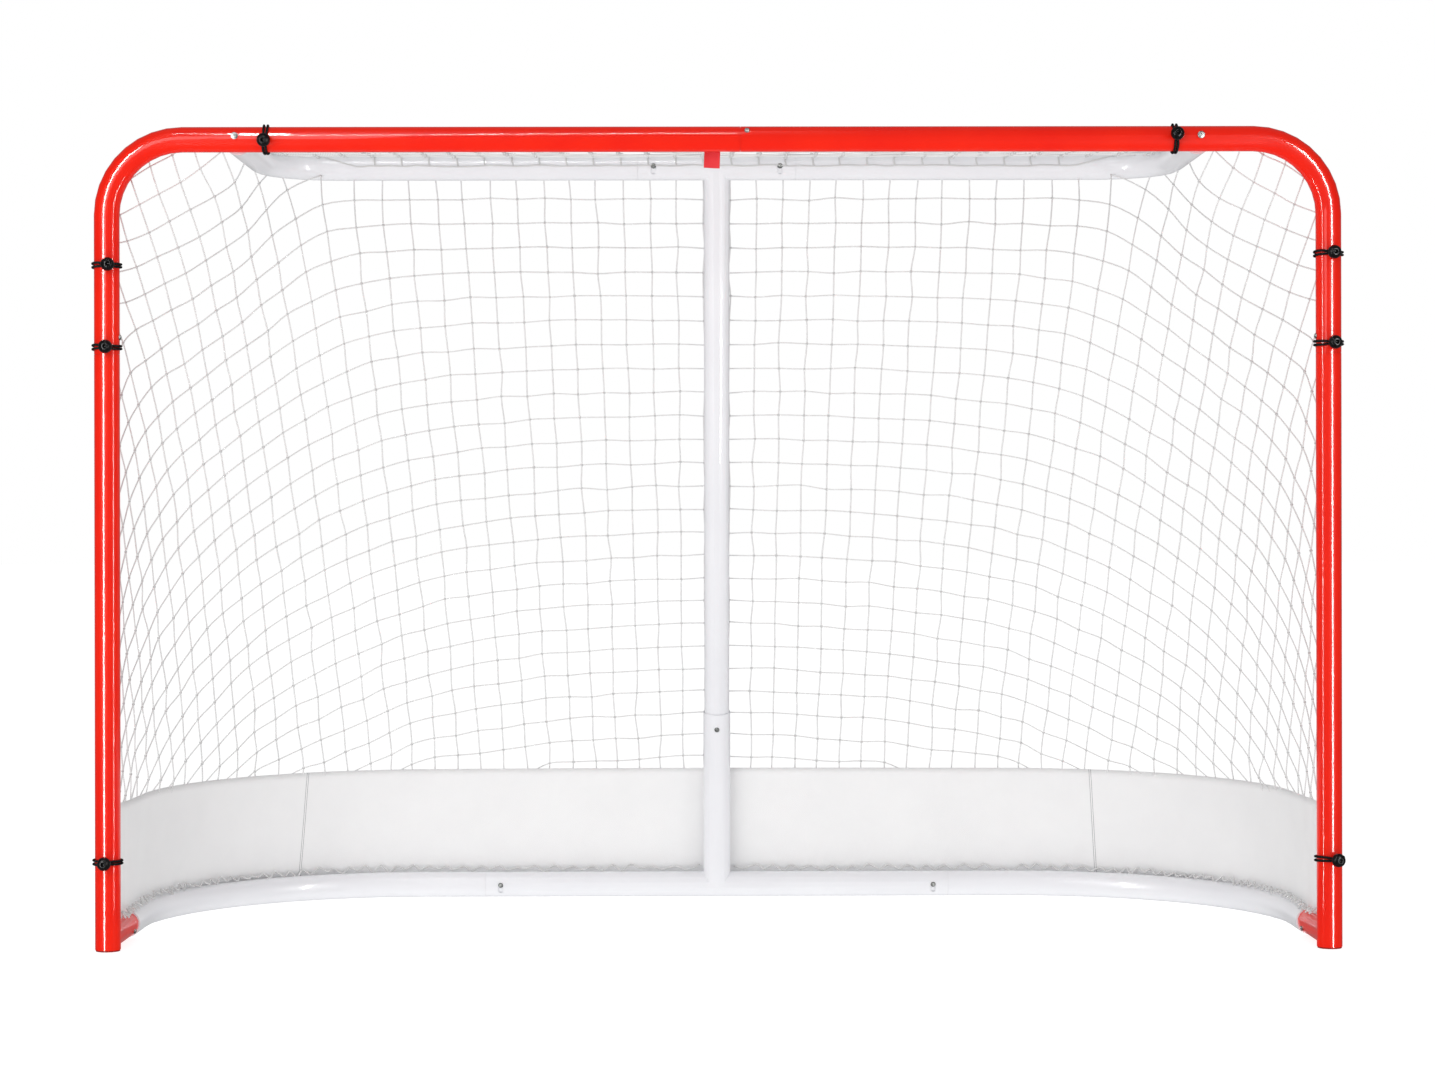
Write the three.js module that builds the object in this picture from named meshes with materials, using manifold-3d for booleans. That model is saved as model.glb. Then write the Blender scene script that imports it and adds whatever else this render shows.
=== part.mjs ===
// A full-size hockey goal: a red steel front frame, a white steel rear frame that slips together with
// spring snap buttons, a laced net with a skirt along its foot, and ball bungees that tie the net in.
// Millimetres, +Z up. X runs along the crossbar, the mouth faces -Y, and the goal stands on Z = 0.
// All places are worked out with Y = 0 at the axes of the front posts; the whole group is then moved
// along Y so that its origin is under the middle of its bounding box.

import * as THREE from 'three';
import { mergeVertices } from 'three/addons/utils/BufferGeometryUtils.js';
import Module from 'manifold-3d';

const wasm = await Module();
wasm.setup();

// ---------------------------------------------------------------- driving dimensions
const OPENING_WIDTH = 1829; // 72 inches between the posts
const OPENING_HEIGHT = 1219; // 48 inches under the crossbar
const FRONT_RADIUS = 19; // front tube, 38 mm outside
const REAR_RADIUS = 21.2; // rear tube, 42.4 mm outside
const TOP_DEPTH = 385; // from the crossbar's axis back to the top rail's axis
const BASE_DEPTH = 685; // from the posts' axes back to the base rail's axis
const CORNER_RADIUS = 115; // bend of the front corners and of the top rail
const BASE_CORNER_RADIUS = 430; // wide bend of the base rail
const POST_SEAM_Z = 910; // where the corner tubes slip onto the posts
const CROSSBAR_SEAM_X = 34; // where the two halves of the crossbar meet
const TOP_SEAM_X = 130; // half the length of the top tee's arms
const BASE_SEAM_X = 402; // half the length of the base tee's arms
const CENTRE_SEAM_DROP = 912; // from the top rail down to the centre post's seam
const STUB_LENGTH = 155; // red base stub, from the post's axis
const TOP_RAIL_X = 736; // where the top rail meets the crossbar
const SKIRT_TOP_Z = 222; // top edge of the skirt along the net's foot

// ---------------------------------------------------------------- tube walls and fits
const GAP = 0.3; // left between pieces that touch
const FRONT_BORE = 17.4;
const FRONT_MALE_RADIUS = 17;
const FRONT_MALE_BORE = 15.5;
const REAR_BORE = 19.5;
const REAR_MALE_RADIUS = 19.1;
const REAR_MALE_BORE = 17.5;
const SLEEVE_RADIUS = 23; // lower centre post, which slips over the upper one
const SLEEVE_BORE = 21.7;
const INSERT_LENGTH = 60; // how far a tube end reaches into the next tube
const MALE_ROOT = 30; // how far an end's solid starts inside its own tube
const TUBE_SIDES = 16;
const BORE_SIDES = 10;
const SOCKET_SIDES = 12;
const END_PLATE = 4; // closes the top rail's front end

// ---------------------------------------------------------------- places worked out from them
const POST_X = OPENING_WIDTH / 2 + FRONT_RADIUS;
const CROSSBAR_Z = OPENING_HEIGHT + FRONT_RADIUS;
const BASE_Z = REAR_RADIUS;
const CORNER_START_Z = CROSSBAR_Z - CORNER_RADIUS;
const CROSSBAR_END_X = POST_X - CORNER_RADIUS;
const FOOT_FLANGE = 2;
const TOP_RAIL_FRONT_Y = FRONT_RADIUS + 0.4;
const POST_TOP = new THREE.Vector3(0, TOP_DEPTH, CROSSBAR_Z);
const POST_FOOT = new THREE.Vector3(0, BASE_DEPTH, BASE_Z);
const POST_DIRECTION = POST_FOOT.clone().sub(POST_TOP).normalize();
const POST_LENGTH = POST_FOOT.distanceTo(POST_TOP);
const POST_FRONT = new THREE.Vector3(0, POST_DIRECTION.z, -POST_DIRECTION.y);
const CENTRE_SEAM = CENTRE_SEAM_DROP / -POST_DIRECTION.z;

// ---------------------------------------------------------------- snap buttons
const BUTTON_RADIUS = 4;
const BUTTON_HOLE = 4.4;
const BUTTON_INSET = 26; // from a seam to its button
const CROSSBAR_BUTTON_INSET = 10;
const BUTTON_STAND = 3.4; // how far the dome stands out of the outer tube
const BUTTON_FLANGE_RADIUS = 5.5;
const BUTTON_FLANGE = 1;
const SLOT_DROP = 9; // the rear rails' slots run down from their button
const STUB_BUTTON_TILT = THREE.MathUtils.degToRad(25); // below the horizontal
const CROSSBAR_BUTTON_TILT = THREE.MathUtils.degToRad(38); // above the horizontal
const SPRING_WIDTH = 7;
const SPRING_THICKNESS = 0.8;
const SPRING_TAIL = 6;
const SPRING_BEND_AT = 15;

// ---------------------------------------------------------------- screws
const SCREW_RISE = 4; // above the crossbar's axis
const SCREW_HEAD_RADIUS = 5.5;
const SCREW_HEAD = 3.2;
const SCREW_SHANK_RADIUS = 2.3;
const SCREW_HOLE = 3.2;
const PLATE_HOLE = 2.7;
const SCREW_TIP_Y = 31;

// ---------------------------------------------------------------- net, skirt, lacing and tab
const NET_THICKNESS = 3;
const NET_FRONT_Y = 27; // the net's border runs behind the front tubes
const NET_FOOT_Z = 44; // just above the base rail
const NET_FOOT_Y = 708; // passes behind the centre post's foot
const NET_TOP_X = TOP_RAIL_X + 25;
const NET_TOP_RADIUS = 142;
const NET_FOLD_RADIUS = 40;
const NET_COLUMNS = 56;
const NET_TOP_CLEARANCE = 5; // the net's flat top stops short of the rear rail and its buttons
const SKIRT_THICKNESS = 1;
const SKIRT_OFFSET = 2.6; // from the net's middle, towards the mouth
const LACE_RADIUS = 2.5;
const LACE_SIDES = 6;
const TAB_CENTRE_X = -9;
const TAB_WIDTH = 25;
const TAB_BOTTOM_Z = 1197;
const TAB_TOP_Z = 1233;

// ---------------------------------------------------------------- ball bungees
const BALL_RADIUS = 10.5;
const BALL_FLAT = 9.6; // the ball's flat underside, from its centre
const CORD_THICKNESS = 3.2;
const CORD_WIDTH = 8.4; // two strands side by side
const CORD_SIDES = 16;
const CORD_INNER = (FRONT_RADIUS + 1) / Math.cos(Math.PI / CORD_SIDES);
const CORD_OUTER = CORD_INNER + CORD_THICKNESS;
const BALL_CENTRE = CORD_OUTER + GAP + BALL_FLAT;
// Each bungee: its tube, its place along that tube, and its ball's angle from straight forwards.
const BUNGEES = [
  { name: 'left_upper', tube: 'left', at: 1046, angle: 12 },
  { name: 'left_middle', tube: 'left', at: 921, angle: 6 },
  { name: 'left_lower', tube: 'left', at: 136, angle: 0 },
  { name: 'crossbar_left', tube: 'crossbar', at: -690, angle: 7 },
  { name: 'crossbar_right', tube: 'crossbar', at: 698, angle: -8 },
  { name: 'right_upper', tube: 'right', at: 1062, angle: 5 },
  { name: 'right_middle', tube: 'right', at: 925, angle: 7 },
  { name: 'right_lower', tube: 'right', at: 137, angle: 13 },
];

// ---------------------------------------------------------------- materials
const paint = (color, roughness, metalness = 0) =>
  new THREE.MeshStandardMaterial({ color, roughness, metalness });
const MATERIALS = {
  redEnamel: paint(0xf02a10, 0.25),
  whiteEnamel: paint(0xf0f0f4, 0.25),
  zinc: paint(0xb8bbbf, 0.35, 1),
  blackPlastic: paint(0x101012, 0.3),
  blackElastic: paint(0x141416, 0.85),
  netCord: paint(0xf4f4f2, 0.9),
  skirt: paint(0xe8e8e8, 0.7),
  webbing: paint(0xe0101c, 0.8),
  plug: paint(0xb01810, 0.6),
};

const goal = new THREE.Group();

function addPiece(name, geometry, material) {
  const mesh = new THREE.Mesh(geometry, material.clone());
  mesh.name = name;
  goal.add(mesh);
}

// ---------------------------------------------------------------- geometry helpers
const point = (x, y, z) => new THREE.Vector3(x, y, z);
const X_AXIS = point(1, 0, 0);
const Y_AXIS = point(0, 1, 0);
const Z_AXIS = point(0, 0, 1);

// A path through stations that are already placed where the sweep needs its sections.
class StationPath extends THREE.Curve {
  constructor(stations) {
    super();
    this.stations = stations;
  }
  getUtoTmapping(u) {
    return u;
  }
  getPoint(t) {
    const last = this.stations.length - 1;
    const index = Math.min(Math.floor(t * last + 1e-6), last - 1);
    return this.stations[index].clone().lerp(this.stations[index + 1], t * last - index);
  }
  getTangent(t) {
    const last = this.stations.length - 1;
    const index = Math.round(t * last);
    const before = this.stations[Math.max(index - 1, 0)];
    const after = this.stations[Math.min(index + 1, last)];
    return after.clone().sub(before).normalize();
  }
}

// Stations round a quarter turn, from centre + radius * from to centre + radius * to.
function quarterTurn(centre, from, to, radius, steps) {
  return Array.from({ length: steps + 1 }, (_, i) => {
    const turn = (Math.PI / 2) * (i / steps);
    return centre
      .clone()
      .addScaledVector(from, radius * Math.cos(turn))
      .addScaledVector(to, radius * Math.sin(turn));
  });
}

// A regular polygon whose flats lie at the radius and face the section's axes.
function polygon(radius, sides) {
  const corner = radius / Math.cos(Math.PI / sides);
  const points = Array.from({ length: sides }, (_, i) => {
    const angle = ((i + 0.5) / sides) * 2 * Math.PI;
    return new THREE.Vector2(corner * Math.cos(angle), corner * Math.sin(angle));
  });
  return new THREE.Shape(points);
}

function sweptGeometry(stations, radius, sides) {
  return new THREE.ExtrudeGeometry(polygon(radius, sides), {
    steps: stations.length - 1,
    extrudePath: new StationPath(stations),
  });
}

function solidOf(geometry) {
  const bare = geometry.clone();
  bare.deleteAttribute('normal');
  bare.deleteAttribute('uv');
  const merged = mergeVertices(bare, 1e-3);
  const mesh = new wasm.Mesh({
    numProp: 3,
    vertProperties: new Float32Array(merged.attributes.position.array),
    triVerts: new Uint32Array(merged.index.array),
  });
  return new wasm.Manifold(mesh);
}

function geometryOf(solid) {
  const mesh = solid.getMesh();
  const geometry = new THREE.BufferGeometry();
  geometry.setAttribute('position', new THREE.BufferAttribute(mesh.vertProperties, 3));
  geometry.setIndex(new THREE.BufferAttribute(mesh.triVerts, 1));
  geometry.computeVertexNormals();
  return geometry;
}

const rod = (stations, radius) => solidOf(sweptGeometry(stations, radius, TUBE_SIDES));
const bore = (stations, radius) => solidOf(sweptGeometry(stations, radius, BORE_SIDES));
const socket = (stations, radius) => solidOf(sweptGeometry(stations, radius, SOCKET_SIDES));

const joined = (solids) => solids.reduce((whole, solid) => whole.add(solid));
const cutBy = (whole, cutters) => cutters.reduce((left, cutter) => left.subtract(cutter), whole);

// Turns geometry that was made along its own +Y so that it points along a direction from a place.
function aimed(geometry, place, direction) {
  const turn = new THREE.Quaternion().setFromUnitVectors(Y_AXIS, direction);
  return geometry.clone().applyQuaternion(turn).translate(place.x, place.y, place.z);
}

function drill(place, direction, radius, from, to) {
  const cutter = new THREE.CylinderGeometry(radius, radius, to - from, 16);
  cutter.translate(0, (from + to) / 2, 0);
  return solidOf(aimed(cutter, place, direction));
}

// ---------------------------------------------------------------- where each snap button sits
// place: on the tube's axis; out: the way the dome points; along: towards the inner tube's open end.
const sideways = (side) => point(-side, 0, 0);
const stubOut = (side) =>
  point(-side * Math.cos(STUB_BUTTON_TILT), 0, -Math.sin(STUB_BUTTON_TILT));
const crossbarOut = point(0, -Math.cos(CROSSBAR_BUTTON_TILT), Math.sin(CROSSBAR_BUTTON_TILT));
const FORWARDS = point(0, -1, 0);

const SNAPS = [];
for (const [word, side] of [['left', -1], ['right', 1]]) {
  SNAPS.push(
    {
      name: `post_${word}`,
      place: point(side * POST_X, 0, POST_SEAM_Z + BUTTON_INSET),
      out: sideways(side),
      along: Z_AXIS,
      bore: FRONT_MALE_BORE,
      outer: FRONT_RADIUS,
    },
    {
      name: `stub_${word}`,
      place: point(side * POST_X, STUB_LENGTH - BUTTON_INSET, BASE_Z),
      out: stubOut(side),
      along: FORWARDS,
      bore: FRONT_MALE_BORE,
      outer: FRONT_RADIUS,
    },
    {
      name: `top_${word}`,
      place: point(side * (TOP_SEAM_X - BUTTON_INSET), TOP_DEPTH, CROSSBAR_Z),
      out: FORWARDS,
      along: sideways(side),
      bore: REAR_MALE_BORE,
      outer: REAR_RADIUS,
    },
    {
      name: `base_${word}`,
      place: point(side * (BASE_SEAM_X - BUTTON_INSET), BASE_DEPTH, BASE_Z),
      out: FORWARDS,
      along: sideways(side),
      bore: REAR_MALE_BORE,
      outer: REAR_RADIUS,
    },
  );
}
SNAPS.push(
  {
    name: 'crossbar',
    place: point(CROSSBAR_SEAM_X + CROSSBAR_BUTTON_INSET, 0, CROSSBAR_Z),
    out: crossbarOut,
    along: X_AXIS,
    bore: FRONT_MALE_BORE,
    outer: FRONT_RADIUS,
  },
  {
    name: 'centre_post',
    place: POST_TOP.clone().addScaledVector(POST_DIRECTION, CENTRE_SEAM + BUTTON_INSET),
    out: POST_FRONT,
    along: POST_DIRECTION,
    bore: REAR_BORE,
    outer: SLEEVE_RADIUS,
  },
);
const snapNamed = (name) => SNAPS.find((snap) => snap.name === name);

// The round hole that a snap button's pin passes through, from inside the tube to past its wall.
function buttonHole(name) {
  const snap = snapNamed(name);
  return drill(snap.place, snap.out, BUTTON_HOLE, snap.bore * 0.6, snap.outer + 6);
}

// The outer tube's slot: the same hole drawn downwards, so that the rails can turn a little.
function buttonSlot(name) {
  const snap = snapNamed(name);
  const lower = snap.place.clone().addScaledVector(Z_AXIS, -SLOT_DROP);
  const reach = snap.outer + 6;
  const middle = new THREE.BoxGeometry(2 * BUTTON_HOLE, reach, SLOT_DROP);
  middle.translate(0, 0, -SLOT_DROP / 2);
  middle.translate(snap.place.x, snap.place.y - reach / 2, snap.place.z);
  return joined([
    drill(snap.place, snap.out, BUTTON_HOLE, 0, reach),
    drill(lower, snap.out, BUTTON_HOLE, 0, reach),
    solidOf(middle),
  ]);
}

function makeSnapClip(snap) {
  const wallAtFlange = Math.sqrt(snap.bore ** 2 - BUTTON_FLANGE_RADIUS ** 2);
  const flangeTop = wallAtFlange - GAP;
  const flangeBottom = flangeTop - BUTTON_FLANGE;
  const domeTop = snap.outer + BUTTON_STAND;
  const pinTop = domeTop - BUTTON_RADIUS / 2;
  const profile = [
    new THREE.Vector2(0, flangeBottom),
    new THREE.Vector2(BUTTON_FLANGE_RADIUS, flangeBottom),
    new THREE.Vector2(BUTTON_FLANGE_RADIUS, flangeTop),
    new THREE.Vector2(BUTTON_RADIUS, flangeTop),
    new THREE.Vector2(BUTTON_RADIUS, pinTop),
    new THREE.Vector2(BUTTON_RADIUS * 0.75, domeTop - BUTTON_RADIUS * 0.14),
    new THREE.Vector2(0, domeTop),
  ];
  const button = aimed(new THREE.LatheGeometry(profile, 10), snap.place, snap.out);
  addPiece(`snap_button_${snap.name}`, button, MATERIALS.zinc);

  const upper = flangeBottom - GAP;
  const lower = -(Math.sqrt(snap.bore ** 2 - (SPRING_WIDTH / 2) ** 2) - GAP);
  const middle = (upper + lower) / 2;
  const outside = (upper - lower) / 2;
  const inside = outside - SPRING_THICKNESS;
  const leaf = new THREE.Shape();
  leaf.moveTo(-SPRING_TAIL, upper);
  leaf.lineTo(SPRING_BEND_AT, upper);
  leaf.absarc(SPRING_BEND_AT, middle, outside, Math.PI / 2, -Math.PI / 2, true);
  leaf.lineTo(-SPRING_TAIL, lower);
  leaf.lineTo(-SPRING_TAIL, lower + SPRING_THICKNESS);
  leaf.lineTo(SPRING_BEND_AT, lower + SPRING_THICKNESS);
  leaf.absarc(SPRING_BEND_AT, middle, inside, -Math.PI / 2, Math.PI / 2, false);
  leaf.lineTo(-SPRING_TAIL, upper - SPRING_THICKNESS);
  const spring = new THREE.ExtrudeGeometry(leaf, {
    depth: SPRING_WIDTH,
    curveSegments: 4,
    bevelEnabled: false,
  });
  spring.translate(0, 0, -SPRING_WIDTH / 2);
  const across = new THREE.Vector3().crossVectors(snap.along, snap.out);
  spring.applyMatrix4(new THREE.Matrix4().makeBasis(snap.along, snap.out, across));
  spring.translate(snap.place.x, snap.place.y, snap.place.z);
  addPiece(`snap_spring_${snap.name}`, spring, MATERIALS.zinc);
}

// ---------------------------------------------------------------- front frame
function makePost(word, side) {
  const x = side * POST_X;
  const tubeFoot = FOOT_FLANGE + GAP;
  const maleTop = POST_SEAM_Z + INSERT_LENGTH;
  const body = joined([
    rod([point(x, 0, tubeFoot), point(x, 0, POST_SEAM_Z - GAP)], FRONT_RADIUS),
    rod([point(x, 0, POST_SEAM_Z - MALE_ROOT), point(x, 0, maleTop)], FRONT_MALE_RADIUS),
    rod([point(x, 0, BASE_Z), point(x, STUB_LENGTH, BASE_Z)], FRONT_RADIUS),
  ]);
  const post = cutBy(body, [
    bore([point(x, 0, -1), point(x, 0, POST_SEAM_Z - MALE_ROOT)], FRONT_BORE),
    bore([point(x, 0, BASE_Z), point(x, 0, maleTop + 1)], FRONT_MALE_BORE),
    socket([point(x, FRONT_RADIUS + 1, BASE_Z), point(x, STUB_LENGTH + 1, BASE_Z)], FRONT_BORE),
    buttonHole(`post_${word}`),
    buttonHole(`stub_${word}`),
  ]);
  addPiece(`${word}_post`, geometryOf(post), MATERIALS.redEnamel);
}

function makeFootPlug(word, side) {
  const rim = FRONT_RADIUS - 0.2;
  const stem = FRONT_BORE - GAP;
  const profile = [
    new THREE.Vector2(0, 0),
    new THREE.Vector2(rim - 0.6, 0),
    new THREE.Vector2(rim, 0.6),
    new THREE.Vector2(rim, FOOT_FLANGE),
    new THREE.Vector2(stem, FOOT_FLANGE),
    new THREE.Vector2(stem, 18),
    new THREE.Vector2(stem - 2, 20),
    new THREE.Vector2(0, 20),
  ];
  const plug = new THREE.LatheGeometry(profile, TUBE_SIDES);
  plug.rotateX(Math.PI / 2);
  plug.translate(side * POST_X, 0, 0);
  addPiece(`foot_plug_${word}`, plug, MATERIALS.plug);
}

function makeCornerTube(word, side) {
  const seamEnd = CROSSBAR_SEAM_X + side * GAP;
  const path = (from, to) => [
    point(side * POST_X, 0, from),
    ...quarterTurn(
      point(side * CROSSBAR_END_X, 0, CORNER_START_Z),
      point(side, 0, 0),
      Z_AXIS,
      CORNER_RADIUS,
      9,
    ),
    point(to, 0, CROSSBAR_Z),
  ];
  const screwPlace = point(side * TOP_RAIL_X, 0, CROSSBAR_Z + SCREW_RISE);
  const cutters = [
    buttonHole(`post_${word}`),
    buttonHole('crossbar'),
    drill(screwPlace, Y_AXIS, SCREW_HOLE, -FRONT_RADIUS - 3, FRONT_RADIUS + 3),
  ];
  let body = rod(path(POST_SEAM_Z + GAP, seamEnd), FRONT_RADIUS);
  if (word === 'left') {
    const crossbar = (x) => point(CROSSBAR_SEAM_X + x, 0, CROSSBAR_Z);
    body = body.add(rod([crossbar(-MALE_ROOT), crossbar(INSERT_LENGTH)], FRONT_MALE_RADIUS));
    cutters.push(bore(path(POST_SEAM_Z - 1, CROSSBAR_SEAM_X - MALE_ROOT), FRONT_BORE));
    cutters.push(bore([crossbar(-2 * MALE_ROOT), crossbar(INSERT_LENGTH + 1)], FRONT_MALE_BORE));
  } else {
    cutters.push(bore(path(POST_SEAM_Z - 1, seamEnd - 1), FRONT_BORE));
  }
  addPiece(`${word}_corner_tube`, geometryOf(cutBy(body, cutters)), MATERIALS.redEnamel);
}

// ---------------------------------------------------------------- rear frame
function makeTopRail(word, side) {
  const x = side * TOP_RAIL_X;
  const corner = quarterTurn(
    point(side * (TOP_RAIL_X - CORNER_RADIUS), TOP_DEPTH - CORNER_RADIUS, CROSSBAR_Z),
    point(side, 0, 0),
    Y_AXIS,
    CORNER_RADIUS,
    9,
  );
  const teeEnd = (reach) => point(side * (TOP_SEAM_X + reach), TOP_DEPTH, CROSSBAR_Z);
  const front = (reach) => point(x, TOP_RAIL_FRONT_Y + reach, CROSSBAR_Z);
  const body = joined([
    rod([front(0), ...corner, teeEnd(GAP)], REAR_RADIUS),
    rod([teeEnd(MALE_ROOT), teeEnd(-INSERT_LENGTH)], REAR_MALE_RADIUS),
  ]);
  const screwPlace = point(x, TOP_RAIL_FRONT_Y, CROSSBAR_Z + SCREW_RISE);
  const rail = cutBy(body, [
    bore([front(END_PLATE), ...corner, teeEnd(MALE_ROOT)], REAR_BORE),
    bore([teeEnd(2 * MALE_ROOT), teeEnd(-INSERT_LENGTH - 1)], REAR_MALE_BORE),
    drill(screwPlace, Y_AXIS, PLATE_HOLE, -1, END_PLATE + 1),
    buttonHole(`top_${word}`),
  ]);
  addPiece(`top_rail_${word}`, geometryOf(rail), MATERIALS.whiteEnamel);
}

function makeTopTee() {
  const arm = (reach) => [
    point(-reach, TOP_DEPTH, CROSSBAR_Z),
    point(reach, TOP_DEPTH, CROSSBAR_Z),
  ];
  const down = (distance) => POST_TOP.clone().addScaledVector(POST_DIRECTION, distance);
  const body = joined([
    rod(arm(TOP_SEAM_X), REAR_RADIUS),
    rod([POST_TOP, down(CENTRE_SEAM + INSERT_LENGTH)], REAR_RADIUS),
  ]);
  const tee = cutBy(body, [
    socket(arm(TOP_SEAM_X + 1), REAR_BORE),
    bore([POST_TOP, down(CENTRE_SEAM + INSERT_LENGTH + 1)], REAR_BORE),
    buttonSlot('top_left'),
    buttonSlot('top_right'),
    buttonHole('centre_post'),
  ]);
  addPiece('top_tee', geometryOf(tee), MATERIALS.whiteEnamel);
}

function makeBaseTee() {
  const arm = (reach) => [
    point(-reach, BASE_DEPTH, BASE_Z),
    point(reach, BASE_DEPTH, BASE_Z),
  ];
  const down = (distance) => POST_TOP.clone().addScaledVector(POST_DIRECTION, distance);
  const body = joined([
    rod(arm(BASE_SEAM_X), REAR_RADIUS),
    rod([down(CENTRE_SEAM), POST_FOOT], SLEEVE_RADIUS),
  ]);
  const tee = cutBy(body, [
    socket(arm(BASE_SEAM_X + 1), REAR_BORE),
    socket([down(CENTRE_SEAM - 1), down(POST_LENGTH - REAR_RADIUS - 6)], SLEEVE_BORE),
    buttonSlot('base_left'),
    buttonSlot('base_right'),
    buttonHole('centre_post'),
  ]);
  addPiece('base_tee', geometryOf(tee), MATERIALS.whiteEnamel);
}

function makeBaseRail(word, side) {
  const x = side * POST_X;
  const corner = quarterTurn(
    point(side * (POST_X - BASE_CORNER_RADIUS), BASE_DEPTH - BASE_CORNER_RADIUS, BASE_Z),
    point(side, 0, 0),
    Y_AXIS,
    BASE_CORNER_RADIUS,
    16,
  );
  const stubEnd = (reach) => point(x, STUB_LENGTH + reach, BASE_Z);
  const teeEnd = (reach) => point(side * (BASE_SEAM_X + reach), BASE_DEPTH, BASE_Z);
  const body = joined([
    rod([stubEnd(GAP), ...corner, teeEnd(GAP)], REAR_RADIUS),
    rod([stubEnd(-INSERT_LENGTH), stubEnd(MALE_ROOT)], FRONT_MALE_RADIUS),
    rod([teeEnd(MALE_ROOT), teeEnd(-INSERT_LENGTH)], REAR_MALE_RADIUS),
  ]);
  const rail = cutBy(body, [
    bore([stubEnd(-INSERT_LENGTH - 1), stubEnd(2 * MALE_ROOT)], FRONT_MALE_BORE),
    bore([stubEnd(MALE_ROOT), ...corner, teeEnd(MALE_ROOT)], REAR_BORE),
    bore([teeEnd(2 * MALE_ROOT), teeEnd(-INSERT_LENGTH - 1)], REAR_MALE_BORE),
    buttonHole(`stub_${word}`),
    buttonHole(`base_${word}`),
  ]);
  addPiece(`base_rail_${word}`, geometryOf(rail), MATERIALS.whiteEnamel);
}

function makeRailScrew(word, side) {
  const head = -FRONT_RADIUS - GAP;
  const profile = [
    new THREE.Vector2(0, head - SCREW_HEAD),
    new THREE.Vector2(SCREW_HEAD_RADIUS * 0.7, head - SCREW_HEAD * 0.85),
    new THREE.Vector2(SCREW_HEAD_RADIUS, head - SCREW_HEAD * 0.45),
    new THREE.Vector2(SCREW_HEAD_RADIUS, head),
    new THREE.Vector2(SCREW_SHANK_RADIUS, head),
    new THREE.Vector2(SCREW_SHANK_RADIUS, SCREW_TIP_Y - 1),
    new THREE.Vector2(SCREW_SHANK_RADIUS - 1, SCREW_TIP_Y),
    new THREE.Vector2(0, SCREW_TIP_Y),
  ];
  const body = solidOf(new THREE.LatheGeometry(profile, 16));
  const recess = (width, depth) => {
    const bar = new THREE.BoxGeometry(width, 4, depth);
    bar.translate(0, head - SCREW_HEAD, 0);
    return solidOf(bar);
  };
  const screw = geometryOf(cutBy(body, [recess(5.6, 1.2), recess(1.2, 5.6)]));
  screw.translate(side * TOP_RAIL_X, 0, CROSSBAR_Z + SCREW_RISE);
  addPiece(`rail_screw_${word}`, screw, MATERIALS.zinc);
}

// ---------------------------------------------------------------- net
// The net's head and foot lines, from the right post round the back to the middle.
function headLine() {
  const z = CROSSBAR_Z;
  const rearX = NET_TOP_X - NET_TOP_RADIUS;
  const rearY = TOP_DEPTH + 26.6;
  return [
    ...quarterTurn(point(CROSSBAR_END_X, NET_FRONT_Y, CORNER_START_Z), X_AXIS, Z_AXIS, CORNER_RADIUS, 12),
    ...quarterTurn(
      point(NET_TOP_X + NET_FOLD_RADIUS, NET_FRONT_Y + NET_FOLD_RADIUS, z),
      FORWARDS,
      point(-1, 0, 0),
      NET_FOLD_RADIUS,
      8,
    ),
    ...quarterTurn(point(rearX, rearY - NET_TOP_RADIUS, z), X_AXIS, Y_AXIS, NET_TOP_RADIUS, 16),
    point(0, rearY, z),
  ];
}

function footLine() {
  const straight = BASE_DEPTH - BASE_CORNER_RADIUS;
  const centreX = POST_X - BASE_CORNER_RADIUS;
  const turn = Array.from({ length: 33 }, (_, i) => {
    const angle = (Math.PI / 2) * (i / 32);
    return point(
      centreX + BASE_CORNER_RADIUS * Math.cos(angle),
      straight + (NET_FOOT_Y - straight) * Math.sin(angle),
      NET_FOOT_Z,
    );
  });
  return [point(POST_X, NET_FRONT_Y, NET_FOOT_Z), ...turn, point(0, NET_FOOT_Y, NET_FOOT_Z)];
}

// The point a given share of the way along a line of points.
function alongLine(points, share) {
  const lengths = points.slice(1).map((end, i) => end.distanceTo(points[i]));
  let left = share * lengths.reduce((sum, length) => sum + length, 0);
  let index = 0;
  while (index < lengths.length - 1 && left > lengths[index]) {
    left -= lengths[index];
    index += 1;
  }
  return points[index].clone().lerp(points[index + 1], Math.min(left / lengths[index], 1));
}

const HEAD_LINE = headLine();
const FOOT_LINE = footLine();
const NET_REACH = CROSSBAR_Z - NET_FOOT_Z;
const SKIRT_FOOT_HEIGHT = 1 / NET_REACH;
const SKIRT_TOP_HEIGHT = (SKIRT_TOP_Z - NET_FOOT_Z) / NET_REACH;

// across: 0 at the right post, 1 at the left; height: a share of the way from foot to head.
function netPoint(across, height) {
  const share = 1 - Math.abs(1 - 2 * across);
  const side = across <= 0.5 ? 1 : -1;
  const foot = alongLine(FOOT_LINE, share);
  const spot = foot.lerp(alongLine(HEAD_LINE, share), height);
  return spot.setX(spot.x * side);
}

// The way out of the net at a point: away from the mouth.
function netNormal(across, height) {
  const step = 0.004;
  const a0 = Math.max(across - step, 0);
  const a1 = Math.min(across + step, 1);
  const alongFoot = netPoint(a0, height).sub(netPoint(a1, height));
  const upwards = netPoint(across, 1).sub(netPoint(across, 0));
  return upwards.cross(alongFoot).normalize();
}

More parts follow.
